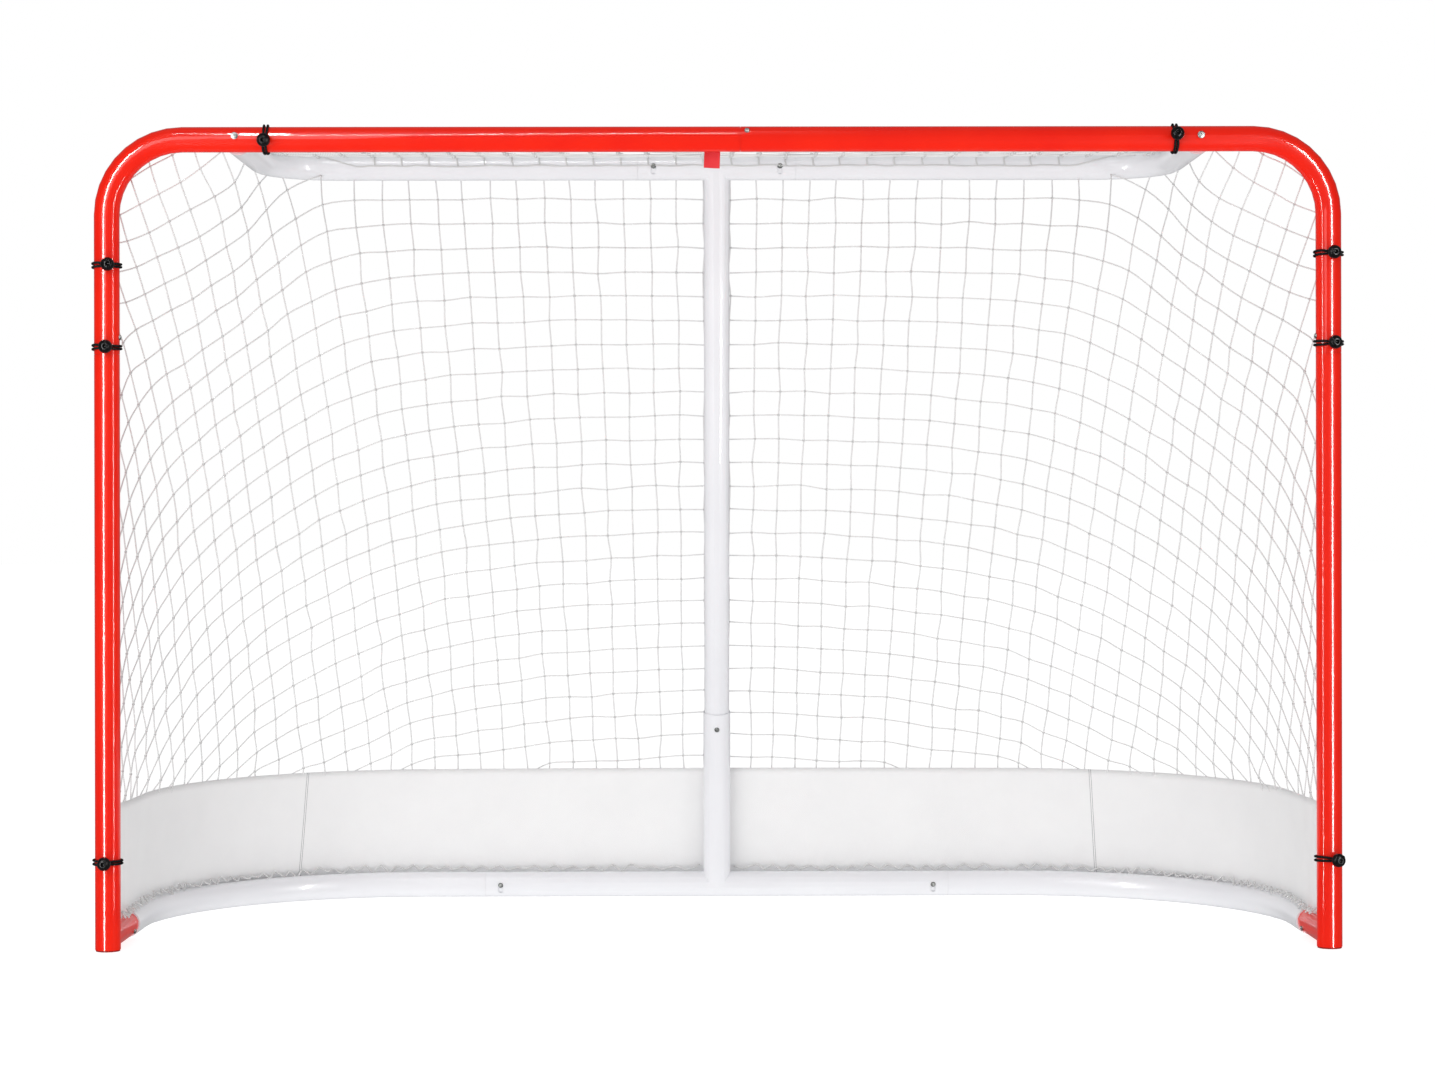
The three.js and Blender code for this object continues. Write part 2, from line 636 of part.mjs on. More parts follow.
// A closed sheet that lies on the net through a list of heights, shifted and thickened across it.
function netSheet(heights, inner, outer) {
  const positions = [];
  const faces = [];
  const columns = NET_COLUMNS;
  const rows = heights.length - 1;
  const across = (i) => i / columns;
  for (const shift of [inner, outer]) {
    for (let i = 0; i <= columns; i += 1) {
      for (let j = 0; j <= rows; j += 1) {
        const spot = netPoint(across(i), heights[j]);
        spot.addScaledVector(netNormal(across(i), heights[j]), shift);
        positions.push(spot.x, spot.y, spot.z);
      }
    }
  }
  const perLayer = (columns + 1) * (rows + 1);
  const at = (layer, i, j) => layer * perLayer + i * (rows + 1) + j;
  const quad = (a, b, c, d) => faces.push(a, c, b, a, d, c);
  for (let i = 0; i < columns; i += 1) {
    for (let j = 0; j < rows; j += 1) {
      quad(at(0, i, j), at(0, i + 1, j), at(0, i + 1, j + 1), at(0, i, j + 1));
      quad(at(1, i, j), at(1, i, j + 1), at(1, i + 1, j + 1), at(1, i + 1, j));
    }
    quad(at(0, i, 0), at(1, i, 0), at(1, i + 1, 0), at(0, i + 1, 0));
    quad(at(0, i, rows), at(0, i + 1, rows), at(1, i + 1, rows), at(1, i, rows));
  }
  for (let j = 0; j < rows; j += 1) {
    quad(at(0, 0, j), at(0, 0, j + 1), at(1, 0, j + 1), at(1, 0, j));
    quad(at(0, columns, j), at(1, columns, j), at(1, columns, j + 1), at(0, columns, j + 1));
  }
  const geometry = new THREE.BufferGeometry();
  geometry.setAttribute('position', new THREE.Float32BufferAttribute(positions, 3));
  geometry.setIndex(faces);
  geometry.computeVertexNormals();
  return geometry;
}

function makeNet() {
  const half = NET_THICKNESS / 2;
  const heights = [0, SKIRT_TOP_HEIGHT, 0.4, 0.65, 0.85, 1];
  const back = netSheet(heights, -half, half);
  addPiece('net_back', back, MATERIALS.netCord);

  const inset = REAR_RADIUS + NET_TOP_CLEARANCE;
  const x = TOP_RAIL_X - inset;
  const rear = TOP_DEPTH - inset;
  const corner = CORNER_RADIUS - inset;
  const outline = new THREE.Shape();
  outline.moveTo(-x, NET_FRONT_Y + 0.5);
  outline.lineTo(x, NET_FRONT_Y + 0.5);
  outline.lineTo(x, rear - corner);
  outline.absarc(x - corner, rear - corner, corner, 0, Math.PI / 2, false);
  outline.lineTo(-x + corner, rear);
  outline.absarc(-x + corner, rear - corner, corner, Math.PI / 2, Math.PI, false);
  const top = new THREE.ExtrudeGeometry(outline, {
    depth: NET_THICKNESS,
    curveSegments: 8,
    bevelEnabled: false,
  });
  top.translate(0, 0, CROSSBAR_Z - half);
  addPiece('net_top', top, MATERIALS.netCord);
}

function makeSkirt() {
  const inner = -SKIRT_OFFSET - SKIRT_THICKNESS / 2;
  const heights = [SKIRT_FOOT_HEIGHT, SKIRT_TOP_HEIGHT];
  const sheet = netSheet(heights, inner, inner + SKIRT_THICKNESS);
  addPiece('skirt', sheet, MATERIALS.skirt);
}

// ---------------------------------------------------------------- lacing
function makeLacing() {
  const topZ = CROSSBAR_Z + REAR_RADIUS + 0.5 + LACE_RADIUS;
  const topCorner = (side) =>
    quarterTurn(
      point(side * (TOP_RAIL_X - CORNER_RADIUS), TOP_DEPTH - CORNER_RADIUS, topZ),
      point(side, 0, 0),
      Y_AXIS,
      CORNER_RADIUS,
      8,
    );
  const topPath = [
    point(TOP_RAIL_X, NET_FRONT_Y + 6, topZ),
    ...topCorner(1),
    ...topCorner(-1).reverse(),
    point(-TOP_RAIL_X, NET_FRONT_Y + 6, topZ),
  ];
  addPiece('top_lacing', sweptGeometry(topPath, LACE_RADIUS, LACE_SIDES), MATERIALS.netCord);

  const inset = 8;
  const radius = BASE_CORNER_RADIUS - inset;
  const z = 2 * REAR_RADIUS + 0.5 + LACE_RADIUS;
  for (const [word, side] of [['left', -1], ['right', 1]]) {
    const centre = point(
      side * (POST_X - BASE_CORNER_RADIUS),
      BASE_DEPTH - BASE_CORNER_RADIUS,
      z,
    );
    const path = [
      point(side * (POST_X - inset), FRONT_RADIUS + 12, z),
      ...quarterTurn(centre, point(side, 0, 0), Y_AXIS, radius, 14),
      point(side * (SLEEVE_RADIUS + 5), BASE_DEPTH - inset, z),
    ];
    const lace = sweptGeometry(path, LACE_RADIUS, LACE_SIDES);
    addPiece(`base_lacing_${word}`, lace, MATERIALS.netCord);
  }
}

function makeCrossbarTab() {
  const tab = new THREE.BoxGeometry(TAB_WIDTH, 1.6, TAB_TOP_Z - TAB_BOTTOM_Z);
  tab.translate(TAB_CENTRE_X, FRONT_RADIUS + 2.6, (TAB_TOP_Z + TAB_BOTTOM_Z) / 2);
  addPiece('crossbar_tab', tab, MATERIALS.webbing);
}

// ---------------------------------------------------------------- ball bungees
// Made on a tube that runs along Z, with the ball straight forwards, then put on their own tube.
function makeBungee(bungee) {
  const half = CORD_WIDTH / 2;
  const soft = 1;
  const ring = new THREE.LatheGeometry(
    [
      new THREE.Vector2(CORD_INNER, -half),
      new THREE.Vector2(CORD_OUTER - soft, -half),
      new THREE.Vector2(CORD_OUTER, -half + soft),
      new THREE.Vector2(CORD_OUTER, half - soft),
      new THREE.Vector2(CORD_OUTER - soft, half),
      new THREE.Vector2(CORD_INNER, half),
      new THREE.Vector2(CORD_INNER, -half),
    ],
    CORD_SIDES,
  );
  ring.rotateX(Math.PI / 2);

  const flatRadius = Math.sqrt(BALL_RADIUS ** 2 - BALL_FLAT ** 2);
  const profile = [new THREE.Vector2(0, -BALL_FLAT), new THREE.Vector2(flatRadius, -BALL_FLAT)];
  for (const latitude of [-40, -10, 20, 45, 62]) {
    const angle = THREE.MathUtils.degToRad(latitude);
    profile.push(
      new THREE.Vector2(BALL_RADIUS * Math.cos(angle), BALL_RADIUS * Math.sin(angle)),
    );
  }
  profile.push(new THREE.Vector2(BALL_RADIUS * 0.35, BALL_RADIUS * 0.85));
  profile.push(new THREE.Vector2(BALL_RADIUS * 0.3, BALL_RADIUS * 0.5));
  profile.push(new THREE.Vector2(0, BALL_RADIUS * 0.5));
  const ball = new THREE.LatheGeometry(profile, 12);
  ball.rotateX(Math.PI);
  ball.translate(0, -BALL_CENTRE, 0);

  const angle = THREE.MathUtils.degToRad(bungee.angle);
  for (const geometry of [ring, ball]) {
    if (geometry === ball) geometry.rotateZ(angle);
    if (bungee.tube === 'crossbar') {
      geometry.rotateY(Math.PI / 2);
      geometry.translate(bungee.at, 0, CROSSBAR_Z);
    } else {
      const side = bungee.tube === 'right' ? 1 : -1;
      geometry.translate(side * POST_X, 0, bungee.at);
    }
  }
  addPiece(`bungee_cord_${bungee.name}`, ring, MATERIALS.blackElastic);
  addPiece(`bungee_ball_${bungee.name}`, ball, MATERIALS.blackPlastic);
}

// ---------------------------------------------------------------- assembly
for (const [word, side] of [['left', -1], ['right', 1]]) {
  makePost(word, side);
  makeFootPlug(word, side);
  makeCornerTube(word, side);
  makeTopRail(word, side);
  makeBaseRail(word, side);
  makeRailScrew(word, side);
}
makeTopTee();
makeBaseTee();
makeNet();
makeSkirt();
makeLacing();
makeCrossbarTab();
SNAPS.forEach(makeSnapClip);
BUNGEES.forEach(makeBungee);

const extent = new THREE.Box3().setFromObject(goal);
goal.position.y = -(extent.min.y + extent.max.y) / 2;

export default goal;
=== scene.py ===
# A full-size hockey goal: gloss red front frame, white rear frame, a hand-tied net with its skirt,
# lacing and ball bungees. Metres; +Z up; X runs along the crossbar and the mouth faces -Y.
import math

import bpy
import numpy as np
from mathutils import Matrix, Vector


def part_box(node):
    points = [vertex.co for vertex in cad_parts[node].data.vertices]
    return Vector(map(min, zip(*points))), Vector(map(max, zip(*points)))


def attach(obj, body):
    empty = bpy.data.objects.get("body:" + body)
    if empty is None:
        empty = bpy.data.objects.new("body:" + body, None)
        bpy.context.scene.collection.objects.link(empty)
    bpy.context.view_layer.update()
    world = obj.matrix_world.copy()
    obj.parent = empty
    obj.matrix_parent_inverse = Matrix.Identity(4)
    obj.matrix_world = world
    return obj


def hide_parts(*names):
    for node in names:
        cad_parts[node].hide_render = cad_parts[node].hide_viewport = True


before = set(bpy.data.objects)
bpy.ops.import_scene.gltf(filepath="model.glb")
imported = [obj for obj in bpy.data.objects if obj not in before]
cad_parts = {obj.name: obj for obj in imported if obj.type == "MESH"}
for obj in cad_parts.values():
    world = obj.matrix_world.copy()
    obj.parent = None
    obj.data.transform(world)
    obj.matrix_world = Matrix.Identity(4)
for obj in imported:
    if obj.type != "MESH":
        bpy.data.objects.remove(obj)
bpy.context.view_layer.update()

# ---------------------------------------------------------------- places in the frame
FOOT_LOW, FOOT_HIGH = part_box("foot_plug_left")
FRONT_Y = (FOOT_LOW.y + FOOT_HIGH.y) / 2  # the front posts' axes
POST_X = -(FOOT_LOW.x + FOOT_HIGH.x) / 2
FRONT_RADIUS = 0.019
REAR_RADIUS = 0.0212
CROSSBAR_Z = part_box("left_corner_tube")[1].z - FRONT_RADIUS
CORNER_RADIUS = 0.115
TOP_DEPTH = 0.385  # from the crossbar's axis back to the top rail's axis
TOP_RAIL_X = 0.736
BASE_DEPTH = 0.685
BASE_CORNER_RADIUS = 0.43
BASE_Z = REAR_RADIUS

# Everything below is worked out with Y = 0 at the front posts' axes, as the CAD source does.
TO_FRAME = np.array([0.0, FRONT_Y, 0.0])
SIDES = (("left", -1), ("right", 1))

# ---------------------------------------------------------------- the camera
CAMERA_BACK = 4.826  # how far it stands in front of the posts' axes
CAMERA_X, CAMERA_HEIGHT = -0.0317, 0.66
CAMERA_ROLL, CAMERA_YAW = math.radians(0.105), math.radians(-0.353)
LENS, SENSOR = 79.22, 36  # millimetres
LENS_SHIFT = -0.01433


def make_camera():
    data = bpy.data.cameras.new("camera")
    data.lens = LENS
    data.sensor_width = SENSOR
    data.sensor_fit = "HORIZONTAL"
    data.shift_y = LENS_SHIFT
    data.clip_end = 100
    camera = bpy.data.objects.new("camera", data)
    camera.location = (CAMERA_X, FRONT_Y - CAMERA_BACK, CAMERA_HEIGHT)
    camera.rotation_euler = (math.pi / 2, CAMERA_ROLL, CAMERA_YAW)
    bpy.context.scene.collection.objects.link(camera)
    bpy.context.scene.camera = camera


make_camera()


# ---------------------------------------------------------------- mesh helpers
def unit(vectors):
    return vectors / np.linalg.norm(vectors, axis=-1, keepdims=True)


def line_length(points):
    return float(np.linalg.norm(np.diff(points, axis=0), axis=1).sum())


def along(points, distances):
    """Points at these distances along a line of points."""
    steps = np.linalg.norm(np.diff(points, axis=0), axis=1)
    marks = np.concatenate([[0.0], np.cumsum(steps)])
    return np.stack([np.interp(distances, marks, points[:, k]) for k in range(3)], -1)


def quarter_turn(centre, start, end, radius, steps):
    turn = np.linspace(0, math.pi / 2, steps + 1)[:, None]
    return (
        np.array(centre)
        + radius * np.cos(turn) * np.array(start)
        + radius * np.sin(turn) * np.array(end)
    )


def smooth_line(knots, pieces):
    """A Catmull-Rom curve through the knots."""
    padded = np.vstack([2 * knots[0] - knots[1], knots, 2 * knots[-1] - knots[-2]])
    t = np.linspace(0, 1, pieces, endpoint=False)[:, None]
    curve = []
    for a, b, c, d in zip(padded, padded[1:], padded[2:], padded[3:]):
        curve.append(
            0.5 * (2 * b + (c - a) * t + (2 * a - 5 * b + 4 * c - d) * t**2
                   + (3 * b - a - 3 * c + d) * t**3)
        )
    return np.vstack(curve + [knots[-1:]])


def tube_parts(line, radius, sides, closed=False):
    """Vertices, faces and UVs of one round tube. U is metres along it, V a share of a turn."""
    if closed:
        tangents = unit(np.roll(line, -1, 0) - np.roll(line, 1, 0))
    else:
        tangents = unit(np.gradient(line, axis=0))
    across = np.zeros(3)
    across[int(np.argmin(np.abs(tangents).mean(0)))] = 1
    normals = np.empty_like(line)
    for i, tangent in enumerate(tangents):
        across = across - tangent * across.dot(tangent)
        across = across / np.linalg.norm(across)
        normals[i] = across
    others = np.cross(tangents, normals)
    turn = np.arange(sides) / sides * 2 * math.pi
    radii = np.broadcast_to(np.asarray(radius, float), (len(line),))[:, None, None]
    rings = (
        line[:, None]
        + radii * np.cos(turn)[None, :, None] * normals[:, None]
        + radii * np.sin(turn)[None, :, None] * others[:, None]
    )
    count = len(line)
    last = count if closed else count - 1
    i, j = np.meshgrid(np.arange(last), np.arange(sides), indexing="ij")
    ahead = (i + 1) % count
    beside = (j + 1) % sides
    quads = np.stack(
        [i * sides + j, i * sides + beside, ahead * sides + beside, ahead * sides + j], -1
    ).reshape(-1, 4)
    marks = np.concatenate([[0], np.cumsum(np.linalg.norm(np.diff(line, axis=0), axis=1))])
    marks = np.append(marks, marks[-1] + np.linalg.norm(line[0] - line[-1]))
    u = np.stack([marks[i], marks[i], marks[i + 1], marks[i + 1]], -1).reshape(-1)
    v = np.stack([j, j + 1, j + 1, j], -1).reshape(-1) / sides
    faces = [tuple(q) for q in quads.tolist()]
    uvs = np.stack([u, v], -1)
    if not closed:
        faces.append(tuple(range(sides - 1, -1, -1)))
        faces.append(tuple(range((count - 1) * sides, count * sides)))
        uvs = np.vstack([uvs, np.zeros((2 * sides, 2))])
    return rings.reshape(-1, 3), faces, uvs


class MeshParts:
    """Collects vertices, faces and UVs, then makes one piece of them."""

    def __init__(self):
        self.points, self.faces, self.uvs, self.count = [], [], [], 0

    def add(self, points, faces, uvs=None):
        self.points.append(points)
        self.faces.extend(tuple(k + self.count for k in face) for face in faces)
        corners = sum(len(face) for face in faces)
        self.uvs.append(np.zeros((corners, 2)) if uvs is None else uvs)
        self.count += len(points)

    def tube(self, line, radius, sides, closed=False):
        self.add(*tube_parts(np.asarray(line, float), radius, sides, closed))

    def sheet(self, columns, rows, place, cut):
        """A closed sheet of two layers: 0 is its front and 1 its back.

        place(layer, i, j) gives a point and cut(i, j) its UV, for i across and j up.
        """
        size = (columns + 1) * (rows + 1)
        points = [
            place(layer, i, j)
            for layer in (0, 1) for i in range(columns + 1) for j in range(rows + 1)
        ]
        faces, uvs = [], []

        def face(*corners):
            faces.append(tuple(layer * size + i * (rows + 1) + j for layer, i, j in corners))
            uvs.extend(cut(i, j) for _, i, j in corners)

        for i in range(columns):
            for j in range(rows):
                face((0, i, j), (0, i + 1, j), (0, i + 1, j + 1), (0, i, j + 1))
                face((1, i, j), (1, i, j + 1), (1, i + 1, j + 1), (1, i + 1, j))
            face((0, i, 0), (1, i, 0), (1, i + 1, 0), (0, i + 1, 0))
            face((0, i, rows), (0, i + 1, rows), (1, i + 1, rows), (1, i, rows))
        for j in range(rows):
            face((0, 0, j), (0, 0, j + 1), (1, 0, j + 1), (1, 0, j))
            face((0, columns, j), (1, columns, j), (1, columns, j + 1), (0, columns, j + 1))
        self.add(np.array(points), faces, np.array(uvs))

    def piece(self, name, body, slot):
        mesh = bpy.data.meshes.new(name)
        mesh.from_pydata((np.vstack(self.points) + TO_FRAME).tolist(), [], self.faces)
        layer = mesh.uv_layers.new(name="along_and_round")
        layer.data.foreach_set("uv", np.vstack(self.uvs).astype(np.float32).ravel())
        mesh.polygons.foreach_set("use_smooth", [True] * len(mesh.polygons))
        mesh.materials.append(FINISHES[slot])
        mesh.update()
        piece = bpy.data.objects.new(name, mesh)
        bpy.context.scene.collection.objects.link(piece)
        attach(piece, body)
        return piece


def ball_template(rings, sides):
    """A unit sphere's vertices and faces."""
    latitudes = np.linspace(-math.pi / 2, math.pi / 2, rings + 2)[1:-1]
    turn = np.arange(sides) / sides * 2 * math.pi
    points = [
        (math.cos(a) * math.cos(b), math.cos(a) * math.sin(b), math.sin(a))
        for a in latitudes
        for b in turn
    ]
    points += [(0, 0, -1), (0, 0, 1)]
    south, north = len(points) - 2, len(points) - 1
    faces = []
    for j in range(sides):
        k = (j + 1) % sides
        faces.append((south, k, j))
        faces.append((north, (rings - 1) * sides + j, (rings - 1) * sides + k))
        for i in range(rings - 1):
            faces.append((i * sides + j, i * sides + k, (i + 1) * sides + k, (i + 1) * sides + j))
    return np.array(points, float), faces


def knot_uvs(faces):
    """The UVs that mark a knot, where the cord material paints shade."""
    return np.full((sum(len(face) for face in faces), 2), -1.0)


# ---------------------------------------------------------------- materials
class Shader:
    """A Principled material with helpers for the nodes that vary it."""

    def __init__(self, name, **sockets):
        self.material = bpy.data.materials.new(name)
        self.material.use_nodes = True
        self.tree = self.material.node_tree
        self.principled = self.tree.nodes["Principled BSDF"]
        for socket, value in sockets.items():
            self.principled.inputs[socket.replace("_", " ")].default_value = value

    def node(self, kind, **values):
        node = self.tree.nodes.new(kind)
        for key, value in values.items():
            if hasattr(node, key):
                setattr(node, key, value)
            else:
                node.inputs[key.replace("_", " ")].default_value = value
        return node

    def link(self, output, target):
        self.tree.links.new(output, target)

    def place(self):
        return self.node("ShaderNodeTexCoord").outputs["Object"]

    def noise(self, scale, detail=3.0, roughness=0.55):
        noise = self.node("ShaderNodeTexNoise", Scale=scale, Detail=detail, Roughness=roughness)
        self.link(self.place(), noise.inputs["Vector"])
        return noise.outputs["Fac"]

    def ramp(self, value, low, high, start=0.3, end=0.7):
        ramp = self.node("ShaderNodeValToRGB")
        ramp.color_ramp.elements[0].position = start
        ramp.color_ramp.elements[1].position = end
        ramp.color_ramp.elements[0].color = (*low, 1)
        ramp.color_ramp.elements[1].color = (*high, 1)
        self.link(value, ramp.inputs["Fac"])
        return ramp.outputs["Color"]

    def spread(self, value, low, high):
        spread = self.node("ShaderNodeMapRange", To_Min=low, To_Max=high)
        self.link(value, spread.inputs["Value"])
        return spread.outputs["Result"]

    def maths(self, operation, first, second=None):
        node = self.node("ShaderNodeMath", operation=operation)
        for socket, value in zip(node.inputs, (first, second)):
            if value is None:
                continue
            if isinstance(value, (int, float)):
                socket.default_value = value
            else:
                self.link(value, socket)
        return node.outputs["Value"]

    def bump(self, height, strength, distance):
        bump = self.node("ShaderNodeBump", Strength=strength, Distance=distance)
        self.link(height, bump.inputs["Height"])
        self.link(bump.outputs["Normal"], self.principled.inputs["Normal"])

    def set(self, socket, output):
        self.link(output, self.principled.inputs[socket])


def enamel(name, low, high, roughness, coat, shine):
    """Sprayed gloss paint: faint orange peel, slightly uneven colour and gloss."""
    paint = Shader(name, Coat_Weight=coat, Coat_Roughness=0.03, Specular_IOR_Level=shine)
    paint.set("Base Color", paint.ramp(paint.noise(scale=9, detail=4), low, high))
    gloss = paint.noise(scale=26, detail=3)
    paint.set("Roughness", paint.spread(gloss, roughness, roughness + 0.06))
    paint.bump(paint.noise(scale=420, detail=2), strength=0.02, distance=0.0002)
    return paint.material


def metal(name, colour, roughness):
    """Zinc-plated steel with fine scratches."""
    steel = Shader(name, Metallic=1.0)
    dull = tuple(0.6 * channel for channel in colour)
    steel.set("Base Color", steel.ramp(steel.noise(scale=160, detail=4), dull, colour))
    scuffs = steel.noise(scale=600, detail=3)
    steel.set("Roughness", steel.spread(scuffs, roughness, roughness + 0.2))
    steel.bump(steel.noise(scale=1500, detail=2), strength=0.15, distance=0.0002)
    return steel.material


def plastic(name, low, high, roughness):
    """Moulded plastic with a fine grain."""
    moulding = Shader(name, Specular_IOR_Level=0.12)
    moulding.set("Base Color", moulding.ramp(moulding.noise(scale=90, detail=3), low, high))
    scuffs = moulding.noise(scale=300, detail=3)
    moulding.set("Roughness", moulding.spread(scuffs, roughness, roughness + 0.15))
    moulding.bump(moulding.noise(scale=2200, detail=2), strength=0.2, distance=0.0002)
    return moulding.material


def cord(name, low, high, lay, strands, sheen):
    """Twisted cord: the strands wind round it once in every lay, in metres.

    Knots carry a V of -1 and are painted darker: painted shade for the shade among a knot's tight
    turns.
    """
    rope = Shader(name, Sheen_Weight=sheen, Sheen_Roughness=0.5, Specular_IOR_Level=0.08)
    uv = rope.node("ShaderNodeSeparateXYZ")
    rope.link(rope.node("ShaderNodeTexCoord").outputs["UV"], uv.inputs[0])
    turns = rope.maths("MULTIPLY", uv.outputs["X"], strands * 2 * math.pi / lay)
    wound = rope.maths("MULTIPLY", uv.outputs["Y"], strands * 2 * math.pi)
    twist = rope.maths("SINE", rope.maths("ADD", turns, wound))
    fibre = rope.noise(scale=2600, detail=2)
    ridges = rope.maths("MULTIPLY", twist, 0.5)
    height = rope.maths("ADD", ridges, rope.maths("MULTIPLY", fibre, 0.4))
    wear = rope.maths("MULTIPLY", rope.noise(scale=30), 0.3)
    # painted shade: the colour follows the twist, darker in the grooves between the strands where
    # the bump dips; the wear noise is tone that differs at random
    tone_and_painted_shade = rope.maths("ADD", rope.spread(twist, 0.35, 0.6), wear)
    # painted shade: where the UV marks a knot, the colour is pulled down to the dark end
    knot = rope.maths("LESS_THAN", uv.outputs["Y"], -0.5)
    tone_and_painted_shade = rope.maths("SUBTRACT", tone_and_painted_shade, knot)
    rope.set("Base Color", rope.ramp(tone_and_painted_shade, low, high, start=0.3, end=0.85))
    rope.set("Roughness", rope.spread(fibre, 0.7, 0.95))
    rope.bump(height, strength=0.5, distance=0.0005)
    return rope.material


STITCH_ASIDE = 0.0016  # each seam's two rows of stitches run this far either side of it
STITCH_HALF = 0.0005  # half a row's width
STITCH_COLOUR = (0.42, 0.42, 0.43, 1)


def weave(name, low, high, pitch, roughness, sheen=0.0, seams=()):
    """Plain-woven cloth whose threads run along the UV directions, which are in metres.

    Each seam is a pair of stitch lines across it, at this U.
    """
    cloth = Shader(name, Sheen_Weight=sheen, Specular_IOR_Level=0.3)
    uv = cloth.node("ShaderNodeSeparateXYZ")
    cloth.link(cloth.node("ShaderNodeTexCoord").outputs["UV"], uv.inputs[0])
    warp = cloth.maths("SINE", cloth.maths("MULTIPLY", uv.outputs["X"], 2 * math.pi / pitch))
    weft = cloth.maths("SINE", cloth.maths("MULTIPLY", uv.outputs["Y"], 2 * math.pi / pitch))
    thread = cloth.maths("MULTIPLY", warp, weft)
    mottle = cloth.noise(scale=7, detail=5, roughness=0.65)
    # painted shade: the colour follows the weave, a touch darker where the threads dip; the mottle
    # is tone that differs at random
    tone_and_painted_shade = cloth.maths("ADD", cloth.maths("MULTIPLY", thread, 0.08), mottle)
    colour = cloth.ramp(tone_and_painted_shade, low, high)
    for seam in seams:
        aside = cloth.maths("ABSOLUTE", cloth.maths("SUBTRACT", uv.outputs["X"], seam))
        off_stitch = cloth.maths("ABSOLUTE", cloth.maths("SUBTRACT", aside, STITCH_ASIDE))
        stitch = cloth.maths("LESS_THAN", off_stitch, STITCH_HALF)
        blend = cloth.node("ShaderNodeMix", data_type="RGBA")
        first, second = (socket for socket in blend.inputs if socket.type == "RGBA")
        cloth.link(stitch, blend.inputs["Factor"])
        cloth.link(colour, first)
        second.default_value = STITCH_COLOUR
        colour = next(socket for socket in blend.outputs if socket.type == "RGBA")
    cloth.set("Base Color", colour)
    scuffs = cloth.noise(scale=40, detail=3)
    cloth.set("Roughness", cloth.spread(scuffs, roughness, roughness + 0.2))
    cloth.bump(thread, strength=0.4, distance=0.0004)
    return cloth.material


SKIRT_SEAMS = (-0.735, 0.665)  # where the lengths of cloth are sewn together, along the foot
FINISHES = {
    "red_enamel": enamel("red_enamel", (0.88, 0.009, 0.001), (0.95, 0.016, 0.001),
                         roughness=0.3, coat=0.5, shine=0.08),
    "white_enamel": enamel("white_enamel", (0.85, 0.855, 0.885), (0.875, 0.88, 0.905),
                           roughness=0.3, coat=0.3, shine=0.3),
    "zinc_steel": metal("zinc_steel", (0.30, 0.31, 0.30), roughness=0.42),
    "black_plastic": plastic("black_plastic", (0.003, 0.003, 0.003), (0.008, 0.008, 0.009),
                             roughness=0.2),
    "black_elastic": cord("black_elastic", (0.002, 0.002, 0.002), (0.009, 0.009, 0.010),
                          lay=0.009, strands=4, sheen=0.0),
    "net_cord": cord("net_cord", (0.60, 0.60, 0.60), (0.98, 0.98, 0.97),
                     lay=0.008, strands=2, sheen=0.1),
    "lacing_cord": cord("lacing_cord", (0.46, 0.46, 0.46), (0.90, 0.90, 0.89),
                        lay=0.011, strands=3, sheen=0.1),
    "skirt_fabric": weave("skirt_fabric", (0.895, 0.895, 0.897), (0.93, 0.93, 0.93),
                          pitch=0.0016, roughness=0.5, seams=SKIRT_SEAMS),
    "red_webbing": weave("red_webbing", (0.72, 0.004, 0.012), (0.86, 0.01, 0.022),
                         pitch=0.002, roughness=0.6, sheen=0.3),
    "foot_plastic": plastic("foot_plastic", (0.25, 0.008, 0.004), (0.36, 0.014, 0.006),
                            roughness=0.45),
}


# ---------------------------------------------------------------- the carried-over CAD nodes
SHARP_EDGE = math.radians(40)


def make_smoother(angle):
    """A modifier group that shades smooth across every edge that is flatter than the angle."""
    group = bpy.data.node_groups.new("smooth_by_angle", "GeometryNodeTree")
    group.interface.new_socket("Geometry", in_out="INPUT", socket_type="NodeSocketGeometry")
    group.interface.new_socket("Geometry", in_out="OUTPUT", socket_type="NodeSocketGeometry")
    start = group.nodes.new("NodeGroupInput")
    end = group.nodes.new("NodeGroupOutput")
    faces = group.nodes.new("GeometryNodeSetShadeSmooth")
    edges = group.nodes.new("GeometryNodeSetShadeSmooth")
    edges.domain = "EDGE"
    edges.inputs["Shade Smooth"].default_value = False
    bend = group.nodes.new("GeometryNodeInputMeshEdgeAngle")
    sharper = group.nodes.new("FunctionNodeCompare")
    sharper.operation = "GREATER_THAN"
    sharper.inputs["B"].default_value = angle
    group.links.new(bend.outputs["Unsigned Angle"], sharper.inputs["A"])
    group.links.new(sharper.outputs["Result"], edges.inputs["Selection"])
    group.links.new(start.outputs[0], faces.inputs["Geometry"])
    group.links.new(faces.outputs["Geometry"], edges.inputs["Geometry"])
    group.links.new(edges.outputs["Geometry"], end.inputs[0])
    return group


def finish_cad_nodes():
    """Each CAD node gets its finish by its slot's name, and shading that keeps its edges."""
    smoother = make_smoother(SHARP_EDGE)
    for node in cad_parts.values():
        node.data.materials[0] = FINISHES[node.data.materials[0].name.split(".")[0]]
        for attribute in ("custom_normal", "sharp_face"):
            if attribute in node.data.attributes:
                node.data.attributes.remove(node.data.attributes[attribute])
        weld = node.modifiers.new("weld", "WELD")
        weld.merge_threshold = 1e-6
        smooth = node.modifiers.new("smooth", "NODES")
        smooth.node_group = smoother


